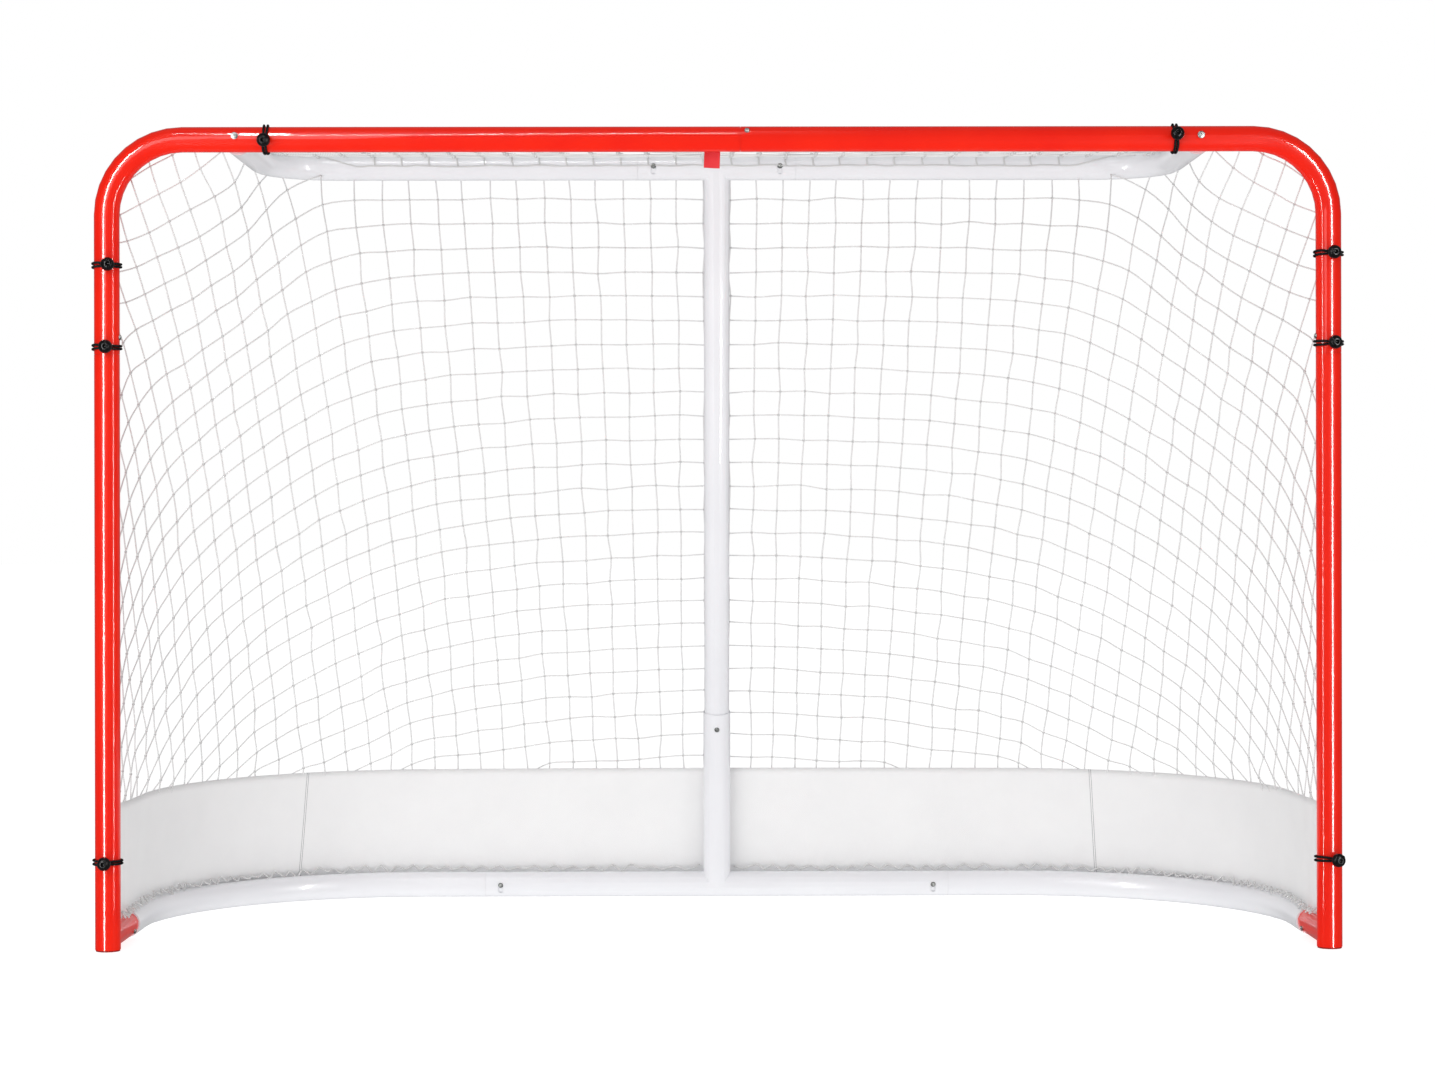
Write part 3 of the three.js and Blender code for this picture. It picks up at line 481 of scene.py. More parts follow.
# ---------------------------------------------------------------- the net
# The net is one square mesh. Its columns are counted from the middle, its rows down from the top
# rail, and each tie says which place in the mesh is held at which place on the frame.
STRAND_RADIUS = 0.0012
STRAND_SIDES = 6
BORDER_RADIUS = 0.0021
KNOT_RADII = np.array([2.0, 1.7, 1.8]) * STRAND_RADIUS
SLACK = 0.0011  # how far a knot strays from its place
BORDER_SLACK = 0.0012
NET_BACK = 0.024  # the net's head runs this far behind the top rail's axis
NET_Y = 0.027  # the net's side edges run this far behind the front tubes' axes
NET_EDGE_X = POST_X - 0.003
NET_FOOT_Y = 0.708
NET_FOOT_Z = 0.044
RAIL_WRAP = REAR_RADIUS + STRAND_RADIUS + 0.0003  # from the rail's axis to a strand laid on it
BEND_START_X = TOP_RAIL_X - CORNER_RADIUS
BEND_ARC = (CORNER_RADIUS + NET_BACK) * math.pi / 2
# How strongly column strands hold a knot, against row strands, in X, Y and Z.
COLUMN_PULL = (3.5, 0.25, 8.0)


def rail_line():
    """The net's head, behind the top rail, from the middle round to the crossbar."""
    bend = quarter_turn(
        (BEND_START_X, TOP_DEPTH - CORNER_RADIUS, CROSSBAR_Z),
        (0, 1, 0), (1, 0, 0), CORNER_RADIUS + NET_BACK, steps=24,
    )
    middle = [[0, TOP_DEPTH + NET_BACK, CROSSBAR_Z]]
    front = [[TOP_RAIL_X + NET_BACK, 0.06, CROSSBAR_Z]]
    return np.vstack([middle, bend, front])


def foot_line():
    """The net's foot, from the middle round to the post."""
    turn = np.linspace(math.pi / 2, 0, 49)
    straight = BASE_DEPTH - BASE_CORNER_RADIUS
    curve = np.stack(
        [
            POST_X - BASE_CORNER_RADIUS + BASE_CORNER_RADIUS * np.cos(turn),
            straight + (NET_FOOT_Y - straight) * np.sin(turn),
            np.full_like(turn, NET_FOOT_Z),
        ],
        -1,
    )
    middle = [[0, NET_FOOT_Y, NET_FOOT_Z]]
    post = [[NET_EDGE_X, NET_Y, NET_FOOT_Z]]
    return np.vstack([middle, curve, post])


RAIL_LINE = rail_line()
FOOT_LINE = foot_line()


def foot_frame(distance):
    """Place on the foot line and the way in from it, at a signed distance from the middle."""
    side = -1.0 if distance < 0 else 1.0
    here, ahead = along(FOOT_LINE, [abs(distance) - 0.004, abs(distance) + 0.004])
    here, ahead = here * [side, 1, 1], ahead * [side, 1, 1]
    heading = unit(ahead - here) * side
    inwards = np.array([heading[1], -heading[0], 0.0])
    return (here + ahead) / 2, inwards


FOOT_HALF = line_length(FOOT_LINE)
SKIRT_LEAN = 0.245  # how far the skirt leans towards the mouth for its height, at the middle
SKIRT_HALF = 0.0005  # half its thickness
SKIRT_TOP_Z = 0.222
SKIRT_IN = 0.0012  # how far inside the net's foot it hangs
NET_BEHIND_SKIRT = 0.0042  # clear space between them
CRUMPLE_FROM = 0.86  # the share of the way to the post where the cloth starts to crumple


def skirt_lean(distance):
    """The lean lessens towards the posts, where the net stands upright."""
    share = min(abs(distance) / FOOT_HALF, 1.0)
    return SKIRT_LEAN * (1 - share**2.2)


def skirt_top(distance):
    """Its top edge dips a little towards the posts."""
    return SKIRT_TOP_Z + 0.003 * math.cos(2.2 * distance)


def skirt_point(distance, height, shift):
    """distance is along the foot from the middle; shift moves the point towards the mouth."""
    place, inwards = foot_frame(distance)
    share = abs(distance) / FOOT_HALF
    upright = height - NET_FOOT_Z
    wave = 0.0012 * math.sin(23 * distance) * math.sin(3.1 * upright / 0.18)
    crumpled = max(share - CRUMPLE_FROM, 0) / (1 - CRUMPLE_FROM)
    crumple = 0.0022 * crumpled * math.sin(95 * distance + 14 * upright)
    depth = skirt_lean(distance) * upright + wave + crumple + shift + SKIRT_IN
    return place * [1, 1, 0] + inwards * depth + [0, 0, height]


def behind_skirt(distance, height):
    return skirt_point(distance, height, -SKIRT_HALF - STRAND_RADIUS - NET_BEHIND_SKIRT)


# (column, row) of the mesh, and how far along the foot it comes to the skirt's top edge.
SKIRT_TOP_TIES = (
    ((28.0, 14.7), 1.236),
    ((24.0, 18.0), 1.015),
    ((20.0, 21.2), 0.84),
    ((16.0, 22.9), 0.65),
    ((12.0, 24.5), 0.49),
    ((6.0, 25.2), 0.25),
    ((-0.5, 25.6), 0.0),
)
# The same for the net's foot, on the base rail.
FOOT_TIES = (
    ((26.7, 19.8), 1.2),
    ((23.8, 23.4), 1.0),
    ((19.1, 27.0), 0.76),
    ((12.8, 29.3), 0.52),
    ((-0.5, 30.4), 0.0),
)
POST_SKIRT_MESH = (32.2, 11.6)  # where the post meets the skirt's top edge
POST_FOOT_MESH = (34.0, 15.0)
# Lower down the post, the tied mesh follows a bowed line between these two.
POST_HEAD_MESH, POST_HEAD_Z = (23.6, -1.1), 1.08
POST_BOW = -1.15  # rows, at the middle of the line
POST_LINE_FROM = 0.27  # the share of the line where the ties start to follow it


def upper_ties():
    """(column, row) and place of each tie of the open net, from the rail round to the skirt."""
    rail = [
        ((-0.5, 0.0), 0.0),
        ((13.5, 0.0), BEND_START_X),
        ((15.0, -0.9), BEND_START_X + BEND_ARC / 2),
        ((16.2, -2.0), BEND_START_X + BEND_ARC),
        ((16.8, -3.0), line_length(RAIL_LINE)),
    ]
    ties = [(mesh, along(RAIL_LINE, [at])[0]) for mesh, at in rail]
    ties += [
        ((17.5, -3.6), np.array([0.788, NET_Y, CROSSBAR_Z - 0.004])),
        ((19.6, -4.4), np.array([0.863, NET_Y, CROSSBAR_Z - 0.014])),
        ((21.7, -3.8), np.array([0.921, NET_Y, 1.16])),
        ((22.7, -1.95), np.array([NET_EDGE_X, NET_Y, POST_HEAD_Z])),
        ((23.6, -0.05), np.array([NET_EDGE_X, NET_Y, 0.995])),
    ]
    first, last = np.array(POST_HEAD_MESH), np.array(POST_SKIRT_MESH)
    for share in np.linspace(POST_LINE_FROM, 1, 10):
        bow = np.array([0.0, POST_BOW * 4 * share * (1 - share)])
        height = POST_HEAD_Z + (skirt_top(FOOT_HALF) - POST_HEAD_Z) * share
        place = np.array([NET_EDGE_X, NET_Y, height])
        ties.append((first + (last - first) * share + bow, place))
    ties += [(mesh, behind_skirt(at, skirt_top(at))) for mesh, at in SKIRT_TOP_TIES]
    return np.array([t[0] for t in ties]), np.array([t[1] for t in ties])


def lower_ties():
    """The same for the part behind the skirt, with places as distance along the foot and height."""
    top = [(mesh, (at, skirt_top(at))) for mesh, at in SKIRT_TOP_TIES[::-1]]
    post = [
        (POST_SKIRT_MESH, (FOOT_HALF, skirt_top(FOOT_HALF))),
        (POST_FOOT_MESH, (FOOT_HALF, NET_FOOT_Z)),
    ]
    foot = [(mesh, (at, NET_FOOT_Z)) for mesh, at in FOOT_TIES]
    ties = top + post + foot
    return np.array([t[0] for t in ties], float), np.array([t[1] for t in ties], float)


TOP_ROW, BOTTOM_ROW, LAST_COLUMN = -6, 31, 34
SHORTEST_END = 0.25  # of a mesh: a shorter end of a strand pulls no harder than this one


def inside_ties(mesh, column, row):
    """True if this knot lies inside the tied edge: an even-odd count of edge crossings."""
    x0, y0 = mesh.T
    x1, y1 = np.roll(mesh, -1, 0).T
    spans = (y0 > row) != (y1 > row)
    rise = np.where(spans, y1 - y0, 1.0)
    reach = x0 + (row - y0) * (x1 - x0) / rise
    return int((spans & (column < reach)).sum()) % 2 == 1


def tie_towards(ties, knot, step):
    """How far along this step from a knot the tied edge is, and the place on the frame there."""
    best = None
    meshes, places = ties
    for start, end, place, ahead in zip(meshes, meshes[1:], places, places[1:]):
        edge = end - start
        cross = step[0] * edge[1] - step[1] * edge[0]
        if abs(cross) < 1e-9:
            continue
        gap = start - np.array(knot, float)
        distance = (gap[0] * edge[1] - gap[1] * edge[0]) / cross
        share = (gap[0] * step[1] - gap[1] * step[0]) / cross
        inside = -1e-9 <= distance <= 1 + 1e-9 and -1e-9 <= share <= 1 + 1e-9
        if inside and (best is None or distance < best[0]):
            best = (distance, place + (ahead - place) * share)
    return best


CENTRE_POST_CLEAR = 0.0245  # from the centre post's axis back to the net


def behind_centre_post(height):
    """Y of the line that the middle of the net is held to, behind the centre post."""
    drop = (CROSSBAR_Z - height) / (CROSSBAR_Z - BASE_Z)
    return TOP_DEPTH + drop * (BASE_DEPTH - TOP_DEPTH) + CENTRE_POST_CLEAR


STEPS = ((1, 0), (-1, 0), (0, 1), (0, -1))


def stretch(ties, pulls_along, held_middle):
    """Places of the knots inside the ties: each hangs in balance between its four neighbours."""
    knots = {}
    for column in range(LAST_COLUMN):
        for row in range(TOP_ROW, BOTTOM_ROW):
            if inside_ties(ties[0], column, row):
                knots[column, row] = len(knots)
    tied = {}
    for knot in knots:
        for step in STEPS:
            beside = (knot[0] + step[0], knot[1] + step[1])
            if beside not in knots and beside[0] >= 0:
                tied[knot, step] = tie_towards(ties, knot, step)
    axes = ties[1].shape[1]
    places = np.zeros((len(knots), axes))
    for axis in (0, 2, 1) if axes == 3 else (0, 1):
        weights = np.zeros((len(knots), len(knots)))
        pulls = np.zeros(len(knots))
        for knot, i in knots.items():
            if held_middle and axis == 1 and knot[0] == 0:
                weights[i, i] = 1
                pulls[i] = behind_centre_post(places[i, 2])
                continue
            for step in STEPS:
                pull = pulls_along[axis] if step[0] == 0 else 1.0
                beside = (knot[0] + step[0], knot[1] + step[1])
                if beside in knots:
                    weights[i, i] += pull
                    weights[i, knots[beside]] -= pull
                elif beside[0] < 0:
                    weights[i, i] += 2 * pull if axis == 0 else 0
                elif tied[knot, step] is not None:
                    distance, place = tied[knot, step]
                    pull /= max(distance, SHORTEST_END)
                    weights[i, i] += pull
                    pulls[i] += pull * place[axis]
        places[:, axis] = np.linalg.solve(weights, pulls)
    return knots, places, tied


def make_knots():
    """Every knot of the +X half with its place, and the ties of the strands that end."""
    knots, places, tied = stretch(upper_ties(), COLUMN_PULL, True)
    found = {knot: places[i] for knot, i in knots.items()}
    ends = {key: tie[1] for key, tie in tied.items() if tie is not None}
    knots, places, tied = stretch(lower_ties(), (1.0, 1.0), False)
    for knot, i in knots.items():
        found.setdefault(knot, behind_skirt(*places[i]))
    for key, tie in tied.items():
        if tie is not None:
            ends.setdefault(key, behind_skirt(*tie[1]))
    return found, ends


def on_rail(place):
    return place[2] > CROSSBAR_Z - 1e-6 and place[1] > 0.05


WRAP_STEP = 22.5  # degrees between the points of a strand laid over the rail


def over_rail(place, first, last):
    """Points round the top rail's tube, from its outer side (0 degrees) over its top (90)."""
    x = min(abs(place[0]), BEND_START_X)
    y = min(place[1], TOP_DEPTH - CORNER_RADIUS)
    side = math.copysign(1, place[0])
    if abs(place[0]) <= BEND_START_X:
        outwards = np.array([0.0, 1.0, 0.0])
    elif place[1] <= TOP_DEPTH - CORNER_RADIUS:
        outwards = np.array([side, 0.0, 0.0])
    else:
        outwards = unit(np.array([place[0] - side * x, place[1] - y, 0.0]))
    axis = place - outwards * NET_BACK
    points = []
    for degrees in np.arange(first, last + 1, WRAP_STEP):
        turn = math.radians(degrees)
        points.append(axis + RAIL_WRAP * (outwards * math.cos(turn) + [0, 0, math.sin(turn)]))
    return points


def strand_end(knot, step, ends, mirror):
    """The rest of a strand past its last knot: to its tie, and over the rail if it ends there."""
    if (knot, step) not in ends:
        return []
    place = ends[knot, step]
    if not on_rail(place):
        return [place * mirror]
    last = 5 * WRAP_STEP if place[0] < BEND_START_X else 4 * WRAP_STEP
    return [place * mirror] + over_rail(place * mirror, WRAP_STEP, last)


FIRST_FRONT_TIE = 4  # upper_ties starts with the rail's, and the last of those is at the front


def make_net(word, side, knots, ends, random):
    """One half of the net: its strands, its knots and the cord along its front edge."""
    mirror = np.array([side, 1.0, 1.0])
    moved = {}
    for knot, place in knots.items():
        moved[knot] = (place + random.normal(0, SLACK, 3)) * mirror
    net = MeshParts()
    ball, ball_faces = ball_template(3, 6)
    for step in ((1, 0), (0, 1)):
        back = (-step[0], -step[1])
        for knot in moved:
            if (knot[0] + back[0], knot[1] + back[1]) in moved:
                continue
            run = [knot]
            while (run[-1][0] + step[0], run[-1][1] + step[1]) in moved:
                run.append((run[-1][0] + step[0], run[-1][1] + step[1]))
            head = strand_end(run[0], back, ends, mirror)[::-1]
            if step == (1, 0) and knot[0] == 0:
                head = [moved[knot] * [0, 1, 1]]
            tail = strand_end(run[-1], step, ends, mirror)
            points = np.array(head + [moved[k] for k in run] + tail)
            if len(points) > 1:
                net.tube(smooth_line(points, 3), STRAND_RADIUS, STRAND_SIDES)
    for place in moved.values():
        size = KNOT_RADII * random.uniform(0.9, 1.15)
        net.add(ball * size + place, ball_faces, knot_uvs(ball_faces))
    front_ties = upper_ties()[1][FIRST_FRONT_TIE:-len(SKIRT_TOP_TIES)]
    foot = [NET_EDGE_X, NET_Y, NET_FOOT_Z]
    edge = np.array([place * mirror for place in [*front_ties, foot]])
    edge[1:-1] += random.normal(0, BORDER_SLACK, edge[1:-1].shape)
    net.tube(smooth_line(edge, 6), BORDER_RADIUS, STRAND_SIDES)
    piece = net.piece(f"net_{word}", "frame", "net_cord")
    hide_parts("net_back")


# ---------------------------------------------------------------- the net's top and its lacing
COLUMN_PITCH = BEND_START_X / 13.8
PANEL_PITCH_Y = 0.0425
PANEL_FRONT_Z = CROSSBAR_Z - 0.002
PANEL_SAG = 0.006
PANEL_COLUMN_SLACK, PANEL_ROW_SLACK = 0.0012, 0.0010
PANEL_KNOT = 0.003
PANEL_REAR_Y = TOP_DEPTH - RAIL_WRAP * math.cos(math.radians(45))
PANEL_RISE = RAIL_WRAP * math.sin(math.radians(45)) - (PANEL_FRONT_Z - CROSSBAR_Z)


def panel_point(x, y):
    share = (y - NET_Y) / (PANEL_REAR_Y - NET_Y)
    sag = PANEL_SAG * math.sin(math.pi * min(max(share, 0), 1)) * (1 - (x / 0.75) ** 2)
    return np.array([x, y, PANEL_FRONT_Z + PANEL_RISE * share - sag])


def panel_edge_y(x):
    """How far back the top of the net reaches: to the rail's upper front, round its bend."""
    over = max(abs(x) - BEND_START_X, 0)
    reach = CORNER_RADIUS - (TOP_DEPTH - PANEL_REAR_Y)
    return TOP_DEPTH - CORNER_RADIUS + math.sqrt(max(reach**2 - over**2, 0))


def panel_edge_x(y):
    over = max(y - (TOP_DEPTH - CORNER_RADIUS), 0)
    reach = CORNER_RADIUS - (TOP_DEPTH - PANEL_REAR_Y)
    return BEND_START_X + math.sqrt(max(reach**2 - over**2, 0))


def make_net_top(random):
    """The net's top, from the crossbar back over the rail."""
    panel = MeshParts()
    ball, ball_faces = ball_template(3, 6)
    rows = np.arange(NET_Y + 0.02, PANEL_REAR_Y - 0.012, PANEL_PITCH_Y)
    columns = []
    for column in range(16):
        x = (column + 0.5) * COLUMN_PITCH
        if x < panel_edge_x(NET_Y) - 0.006:
            columns += [-x, x]
    for x in columns:
        crossed = rows[rows < panel_edge_y(x) - 0.008]
        stops = np.concatenate([[NET_Y], crossed, [panel_edge_y(x)]])
        line = np.array([panel_point(x, y) for y in stops])
        line[1:-1] += random.normal(0, PANEL_COLUMN_SLACK, line[1:-1].shape)
        if abs(x) < BEND_START_X:
            start = np.array([x, TOP_DEPTH + NET_BACK, CROSSBAR_Z])
            line = np.vstack([line, over_rail(start, 4 * WRAP_STEP, 5 * WRAP_STEP)[::-1]])
        panel.tube(smooth_line(line, 3), STRAND_RADIUS, STRAND_SIDES)
        for point in line[1:len(stops) - 1]:
            size = PANEL_KNOT * random.uniform(0.9, 1.15)
            panel.add(ball * size + point, ball_faces, knot_uvs(ball_faces))
    for y in rows:
        x = panel_edge_x(y)
        stops = np.linspace(-x, x, 33)
        line = np.array([panel_point(x, y) for x in stops])
        line[1:-1] += random.normal(0, PANEL_ROW_SLACK, line[1:-1].shape)
        panel.tube(smooth_line(line, 2), STRAND_RADIUS, STRAND_SIDES)
    piece = panel.piece("net_top_panel", "frame", "net_cord")
    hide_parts("net_top")


TOP_CORD_RADIUS = 0.0011
TOP_LOOP_RADIUS = 0.0012


def make_top_lacing(random):
    """A cord along the rail's front that every column is looped to."""
    lacing = MeshParts()
    front = TOP_DEPTH - RAIL_WRAP
    ends = BEND_START_X - 0.03
    stops = np.linspace(-ends, ends, 61)
    wander = random.normal(0, 0.0008, len(stops))
    line = np.stack([stops, np.full_like(stops, front), CROSSBAR_Z + wander], -1)
    for side, row in ((-1, 0), (1, -1)):
        reach = np.array([side * (ends + 0.075), TOP_DEPTH - 0.02, CROSSBAR_Z + 0.021])
        tail = line[row] + (reach - line[row]) * np.array([[0.5], [1.0]])
        line = np.vstack([tail[::-1], line]) if side < 0 else np.vstack([line, tail])
    lacing.tube(smooth_line(line, 2), TOP_CORD_RADIUS, STRAND_SIDES)
    for column in range(-13, 13):
        x = (column + 0.5) * COLUMN_PITCH + random.normal(0, 0.001)
        start = np.array([x, TOP_DEPTH + NET_BACK, CROSSBAR_Z])
        loop = np.array(over_rail(start, 5 * WRAP_STEP, 8 * WRAP_STEP))
        loop[-1, 0] += 0.0015
        lacing.tube(smooth_line(loop, 3), TOP_LOOP_RADIUS, STRAND_SIDES)
    piece = lacing.piece("top_lacing_cord", "frame", "lacing_cord")
    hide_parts("top_lacing")


# ---------------------------------------------------------------- the skirt
SKIRT_FOOT_Z = 0.0395
SKIRT_WIDTH = 0.184
SKIRT_END = 0.012  # how far short of the post's axis it stops, along the foot
SKIRT_COLUMNS, SKIRT_ROWS = 320, 14
TOP_HEM, FOOT_HEM, HEM_PROUD = 0.014, 0.01, 0.0007
SEAM_REACH, SEAM_PROUD = 0.0035, 0.0006


def make_skirt():
    """One sheet with a hem along its top and its foot, and two sewn joins."""
    marks = np.linspace(-FOOT_HALF + SKIRT_END, FOOT_HALF - SKIRT_END, SKIRT_COLUMNS + 1)

    def place(layer, i, j):
        mark, top = marks[i], skirt_top(marks[i])
        height = SKIRT_FOOT_Z + (top - SKIRT_FOOT_Z) * j / SKIRT_ROWS
        seam = max(math.exp(-(((mark - at) / SEAM_REACH) ** 2)) for at in SKIRT_SEAMS)
        hemmed = height > top - TOP_HEM or height < SKIRT_FOOT_Z + FOOT_HEM
        proud = SKIRT_HALF + (HEM_PROUD if hemmed else 0.0) + SEAM_PROUD * seam
        return skirt_point(mark, height, -proud if layer else proud)

    def cut(i, j):
        return marks[i], j / SKIRT_ROWS * SKIRT_WIDTH

    skirt = MeshParts()
    skirt.sheet(SKIRT_COLUMNS, SKIRT_ROWS, place, cut)
    piece = skirt.piece("skirt_cloth", "frame", "skirt_fabric")
    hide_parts("skirt")


# ---------------------------------------------------------------- base lacing
ROPE_RADIUS = 0.0016
ROPE_HIGH, ROPE_LOW = 0.0510, 0.0445  # heights of the zigzag's corners
ROPE_IN_HIGH, ROPE_IN_LOW = 0.0085, 0.0145  # how far inside the net's foot they are


def make_base_lacing(word, side, random):
    """A rope that zigzags between the rail and the foot of the skirt, tighter near the post."""
    rope = MeshParts()
    points = []
    distance, up = 0.03, 1
    while distance < FOOT_HALF - 0.02:
        share = distance / FOOT_HALF
        step = 0.019 - 0.011 * share
        place, inwards = foot_frame(side * distance)
        bite = (ROPE_IN_HIGH if up > 0 else ROPE_IN_LOW) + random.normal(0, 0.001)
        height = (ROPE_HIGH if up > 0 else ROPE_LOW) + random.normal(0, 0.0012 + 0.0014 * share)
        points.append(place * [1, 1, 0] + inwards * bite + [0, 0, height])
        distance += step * random.uniform(0.8, 1.2)
        up = -up
    rope.tube(smooth_line(np.array(points), 4), ROPE_RADIUS, STRAND_SIDES)
    piece = rope.piece(f"base_lacing_rope_{word}", "frame", "lacing_cord")
    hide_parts(f"base_lacing_{word}")


# ---------------------------------------------------------------- the red tab
TAB_LEFT, TAB_RIGHT = -0.0205, 0.0040
TAB_BOTTOM_Z, TAB_TOP_Z = 1.197, 1.236
TAB_SKEW = 0.0015
TAB_WIDTH, TAB_LENGTH, TAB_HALF = 0.0245, 0.039, 0.0006
TAB_GAP = 0.0022  # from the crossbar to the middle of its thickness
TAB_COLUMNS, TAB_ROWS = 12, 18


def make_tab():
    """A piece of webbing that hangs from the net behind the crossbar, slightly curled."""

    def place(layer, i, j):
        across, up = i / TAB_COLUMNS, j / TAB_ROWS
        x = TAB_LEFT + (TAB_RIGHT - TAB_LEFT) * across - TAB_SKEW * (1 - up)
        z = TAB_BOTTOM_Z + (TAB_TOP_Z - TAB_BOTTOM_Z) * up - 0.0012 * across * (1 - up)
        curl = 0.0014 * math.sin(3 * across + 2 * up) + 0.001 * (1 - up) ** 2
        y = FRONT_RADIUS + TAB_GAP + curl + (TAB_HALF if layer else -TAB_HALF)
        return x, y, z

    def cut(i, j):
        return TAB_WIDTH * i / TAB_COLUMNS, TAB_LENGTH * j / TAB_ROWS

    tab = MeshParts()
    tab.sheet(TAB_COLUMNS, TAB_ROWS, place, cut)
    piece = tab.piece("crossbar_tab_webbing", "frame", "red_webbing")
    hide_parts("crossbar_tab")


# ---------------------------------------------------------------- ball bungees
BALL_RADIUS = 0.0105
BALL_SIDES = 28
BALL_DIMPLE = [(0.0031, 0.0093), (0.0027, 0.0078), (0.0025, 0.0058), (0.0, 0.0055)]
BALL_BACK = [(0.0, -0.0096)]
ELASTIC_RADIUS = 0.0019
ELASTIC_WRAP = FRONT_RADIUS + ELASTIC_RADIUS + 0.0007  # from the tube's axis to the elastic's
# Where the loop leaves the tube for the ball and comes back: its reach from the tube's axis,
# how far it is from the loop's middle along the tube, and how far to the side.
MOUTH_REACH = 0.0262
MOUTH = (
    (MOUTH_REACH, 0.0014, -0.0012),
    (0.0285, 0.001, 0),
    (MOUTH_REACH, 0.0014, 0.0012),
)
BUNGEES = (
    "left_upper", "left_middle", "left_lower", "crossbar_left",
    "crossbar_right", "right_upper", "right_middle", "right_lower",
)


def cad_centre(node):
    """The middle of a CAD node, in the modelling frame."""
    low, high = (np.array(corner) - TO_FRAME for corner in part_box(node))
    return (low + high) / 2


def elastic_line(strand, centre, out, across, tube_axis, lift):
    """One turn of the elastic round the tube; strand is -1 or 1."""
    first = math.acos(ELASTIC_WRAP / MOUTH_REACH)
    line = []
    for share in np.linspace(0, 1, 40, endpoint=False):
        turn = first + (2 * math.pi - 2 * first) * share
        side = math.sin(turn)
        level = strand * (0.0025 - 0.0004 * side) + lift * math.sin(turn * 2)
        round_tube = ELASTIC_WRAP * (out * math.cos(turn) + across * side)
        line.append(centre + round_tube + tube_axis * level)
    for reach, level, aside in MOUTH:
        line.append(centre + out * reach + tube_axis * level * strand + across * aside)
    return np.array(line)


def ball_parts(centre, out, across, tube_axis):
    """A ball with a dimple at its outer end, turned about the out axis."""
    latitudes = np.radians(np.linspace(-66, 68, 17))
    shell = [(BALL_RADIUS * math.cos(a), BALL_RADIUS * math.sin(a)) for a in latitudes]
    profile = BALL_BACK + shell + BALL_DIMPLE
    points, faces = [], []
    for radius, rise in profile:
        for k in range(BALL_SIDES):
            turn = 2 * math.pi * k / BALL_SIDES
            spoke = across * math.cos(turn) + tube_axis * math.sin(turn)
            points.append(centre + out * rise + radius * spoke)
    for i in range(len(profile) - 1):
        ring, after = i * BALL_SIDES, (i + 1) * BALL_SIDES
        for k in range(BALL_SIDES):
            n = (k + 1) % BALL_SIDES
            faces.append((ring + k, after + k, after + n, ring + n))
    return np.array(points), faces


def make_bungee(name, random):
    """A loop of elastic round the tube, with its ball."""
    centre = cad_centre(f"bungee_cord_{name}")
    ball_centre = cad_centre(f"bungee_ball_{name}")
    tube_axis = np.array([1.0, 0, 0]) if name.startswith("crossbar") else np.array([0, 0, 1.0])
    out = ball_centre - centre
    out = unit(out - tube_axis * out.dot(tube_axis))
    across = np.cross(tube_axis, out)
    lift = random.normal(0, 0.0009)

    loop = MeshParts()
    for strand in (-1, 1):
        line = elastic_line(strand, centre, out, across, tube_axis, lift)
        loop.tube(line, ELASTIC_RADIUS, 8, closed=True)
    piece = loop.piece(f"bungee_loop_{name}", f"bungee_{name}", "black_elastic")
    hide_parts(f"bungee_cord_{name}")

    ball = MeshParts()
    ball.add(*ball_parts(ball_centre, out, across, tube_axis))
    piece = ball.piece(f"bungee_head_{name}", f"bungee_{name}", "black_plastic")
    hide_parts(f"bungee_ball_{name}")


# ---------------------------------------------------------------- studio
FLOOR_REACH = 40
FLOOR_Z = -0.0005
FLOOR_GREY = (0.3, 0.3, 0.3, 1)
FLOOR_GLOW = 0.86
WHITE = (1, 1, 1, 1)
SKY_LIGHT = (0.985, 0.99, 1.0, 1)
SKY_STRENGTHS = (0.3, 0.8, 0.75)  # of the light along X, Y and Z
SKY_MIRRORED = 0.25  # the share of the sky's light that mirrors show


def make_floor():
    """A wide pale floor that is lit from within, so it stays plain with hardly any shadow."""
    mesh = bpy.data.meshes.new("floor")
    corners = [(-1, -1), (1, -1), (1, 1), (-1, 1)]
    points = [(x * FLOOR_REACH, y * FLOOR_REACH, 0) for x, y in corners]
    mesh.from_pydata(points, [], [(0, 1, 2, 3)])
    floor = bpy.data.objects.new("floor", mesh)
    floor.location.z = FLOOR_Z
    floor.visible_glossy = False
    bpy.context.scene.collection.objects.link(floor)
    pale = Shader("pale_floor", Roughness=0.9, Specular_IOR_Level=0.1)
    pale.principled.inputs["Base Color"].default_value = FLOOR_GREY
    pale.principled.inputs["Emission Color"].default_value = WHITE
    pale.principled.inputs["Emission Strength"].default_value = FLOOR_GLOW
    mesh.materials.append(pale.material)


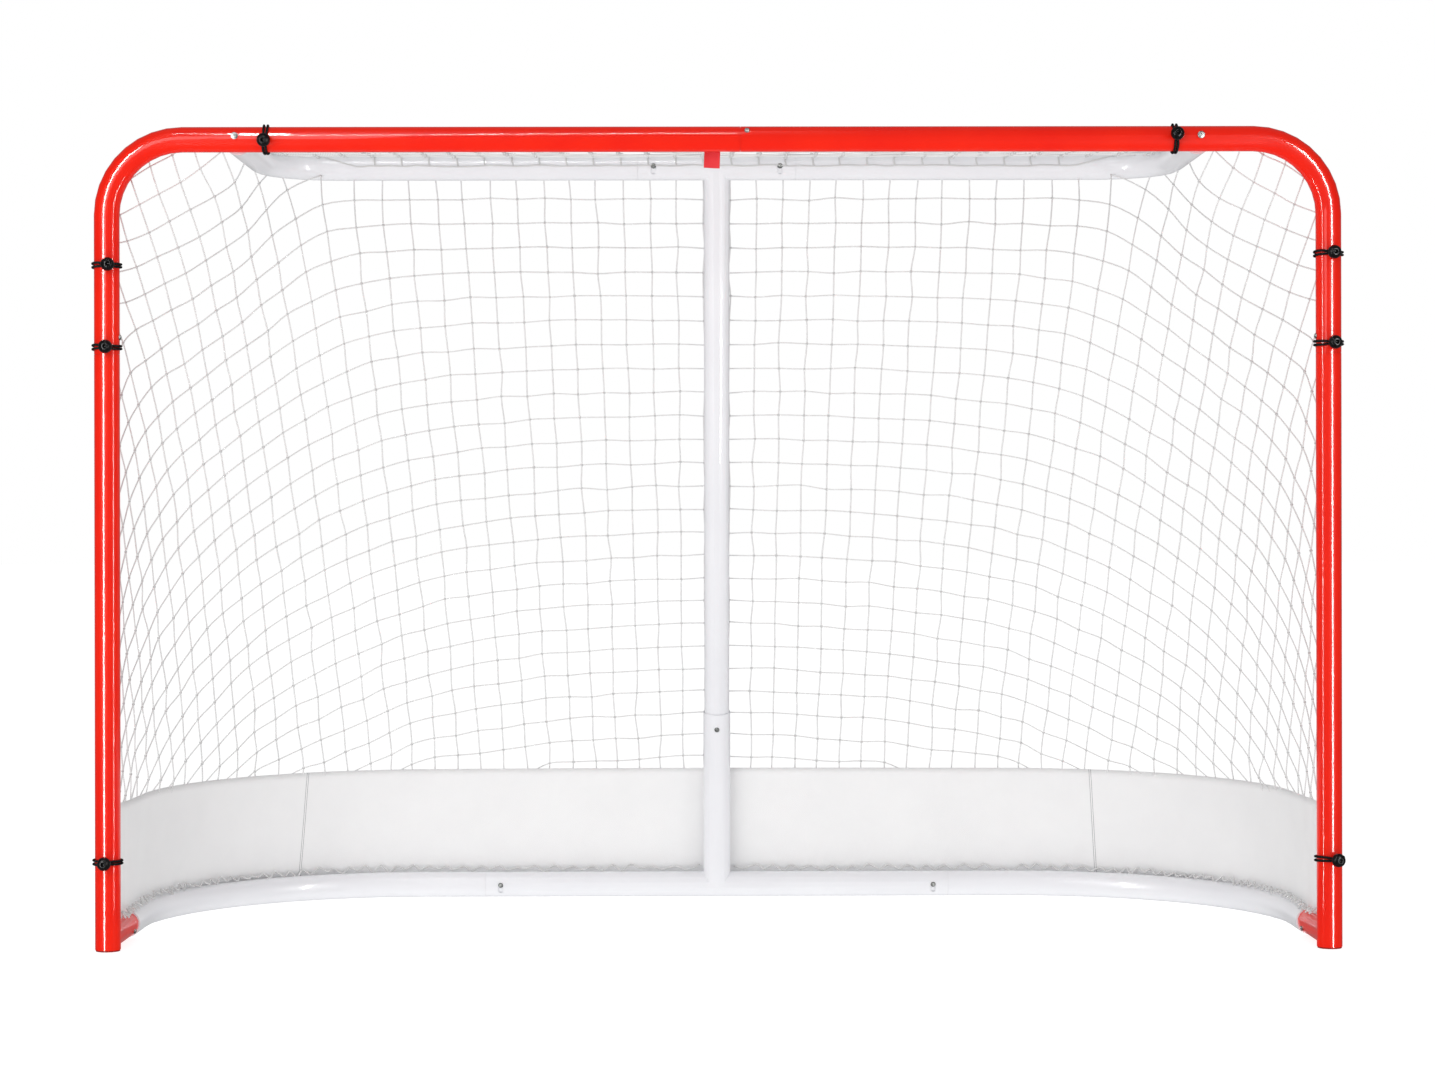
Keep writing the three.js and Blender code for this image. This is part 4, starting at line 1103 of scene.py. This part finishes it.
def make_world():
    """Soft light from all round: bright from front, back and above, dimmer from the sides."""
    world = bpy.data.worlds.new("studio")
    bpy.context.scene.world = world
    world.use_nodes = True
    tree = world.node_tree
    tree.nodes.clear()
    seen = tree.nodes.new("ShaderNodeBackground")
    seen.inputs["Color"].default_value = WHITE
    light = tree.nodes.new("ShaderNodeBackground")
    where = tree.nodes.new("ShaderNodeTexCoord")
    squared = tree.nodes.new("ShaderNodeVectorMath")
    squared.operation = "MULTIPLY"
    tree.links.new(where.outputs["Generated"], squared.inputs[0])
    tree.links.new(where.outputs["Generated"], squared.inputs[1])
    share = tree.nodes.new("ShaderNodeVectorMath")
    share.operation = "DOT_PRODUCT"
    share.inputs[1].default_value = SKY_STRENGTHS
    tree.links.new(squared.outputs["Vector"], share.inputs[0])
    rays = tree.nodes.new("ShaderNodeLightPath")
    mirrored = tree.nodes.new("ShaderNodeMapRange")
    mirrored.inputs["To Min"].default_value = 1.0
    mirrored.inputs["To Max"].default_value = SKY_MIRRORED
    strength = tree.nodes.new("ShaderNodeMath")
    strength.operation = "MULTIPLY"
    tree.links.new(rays.outputs["Is Glossy Ray"], mirrored.inputs["Value"])
    tree.links.new(share.outputs["Value"], strength.inputs[0])
    tree.links.new(mirrored.outputs["Result"], strength.inputs[1])
    tree.links.new(strength.outputs["Value"], light.inputs["Strength"])
    light.inputs["Color"].default_value = SKY_LIGHT
    mix = tree.nodes.new("ShaderNodeMixShader")
    end = tree.nodes.new("ShaderNodeOutputWorld")
    tree.links.new(rays.outputs["Is Camera Ray"], mix.inputs["Fac"])
    tree.links.new(light.outputs[0], mix.inputs[1])
    tree.links.new(seen.outputs[0], mix.inputs[2])
    tree.links.new(mix.outputs[0], end.inputs["Surface"])


def soft_box(name, place, target, size, watts, diffuse=False):
    """A rectangular light that the camera does not see; by default it makes highlights only."""
    data = bpy.data.lights.new(name, "AREA")
    data.shape = "RECTANGLE"
    data.size, data.size_y = size
    data.energy = watts
    light = bpy.data.objects.new(name, data)
    light.location = place
    towards = np.array(target, float) - np.array(place, float)
    yaw = math.atan2(-towards[0], towards[1])
    pitch = math.atan2(towards[2], math.hypot(towards[0], towards[1]))
    light.rotation_euler = (math.pi / 2 + pitch, 0, yaw)
    light.visible_camera = False
    light.visible_diffuse = diffuse
    bpy.context.scene.collection.objects.link(light)


def make_lights():
    """A tall strip beside each post, a long one above the crossbar, and a weak fill in front."""
    for word, side in SIDES:
        place = (side * 1.3, FRONT_Y - 0.9, 0.72)
        soft_box(f"strip_{word}", place, (side * 0.95, FRONT_Y, 0.72), size=(0.22, 1.9), watts=62)
    place = (-0.56, FRONT_Y - 0.95, CROSSBAR_Z + 1.25)
    soft_box("strip_above", place, (-0.56, FRONT_Y, CROSSBAR_Z), size=(1.25, 0.06), watts=20)
    place = (-1.6, FRONT_Y - 3.4, 1.9)
    soft_box("front_fill", place, (0, FRONT_Y, 0.6), size=(1.6, 1.6), watts=30, diffuse=True)


# ---------------------------------------------------------------- assembly
finish_cad_nodes()
make_world()
make_floor()
make_lights()
KNOTS, STRAND_ENDS = make_knots()
for number, (word, side) in enumerate(SIDES):
    make_net(word, side, KNOTS, STRAND_ENDS, np.random.default_rng(11 + number))
    make_base_lacing(word, side, np.random.default_rng(21 + number))
make_net_top(np.random.default_rng(31))
make_top_lacing(np.random.default_rng(41))
make_skirt()
make_tab()
for number, name in enumerate(BUNGEES):
    make_bungee(name, np.random.default_rng(51 + number))

bpy.context.scene.view_settings.view_transform = "Standard"
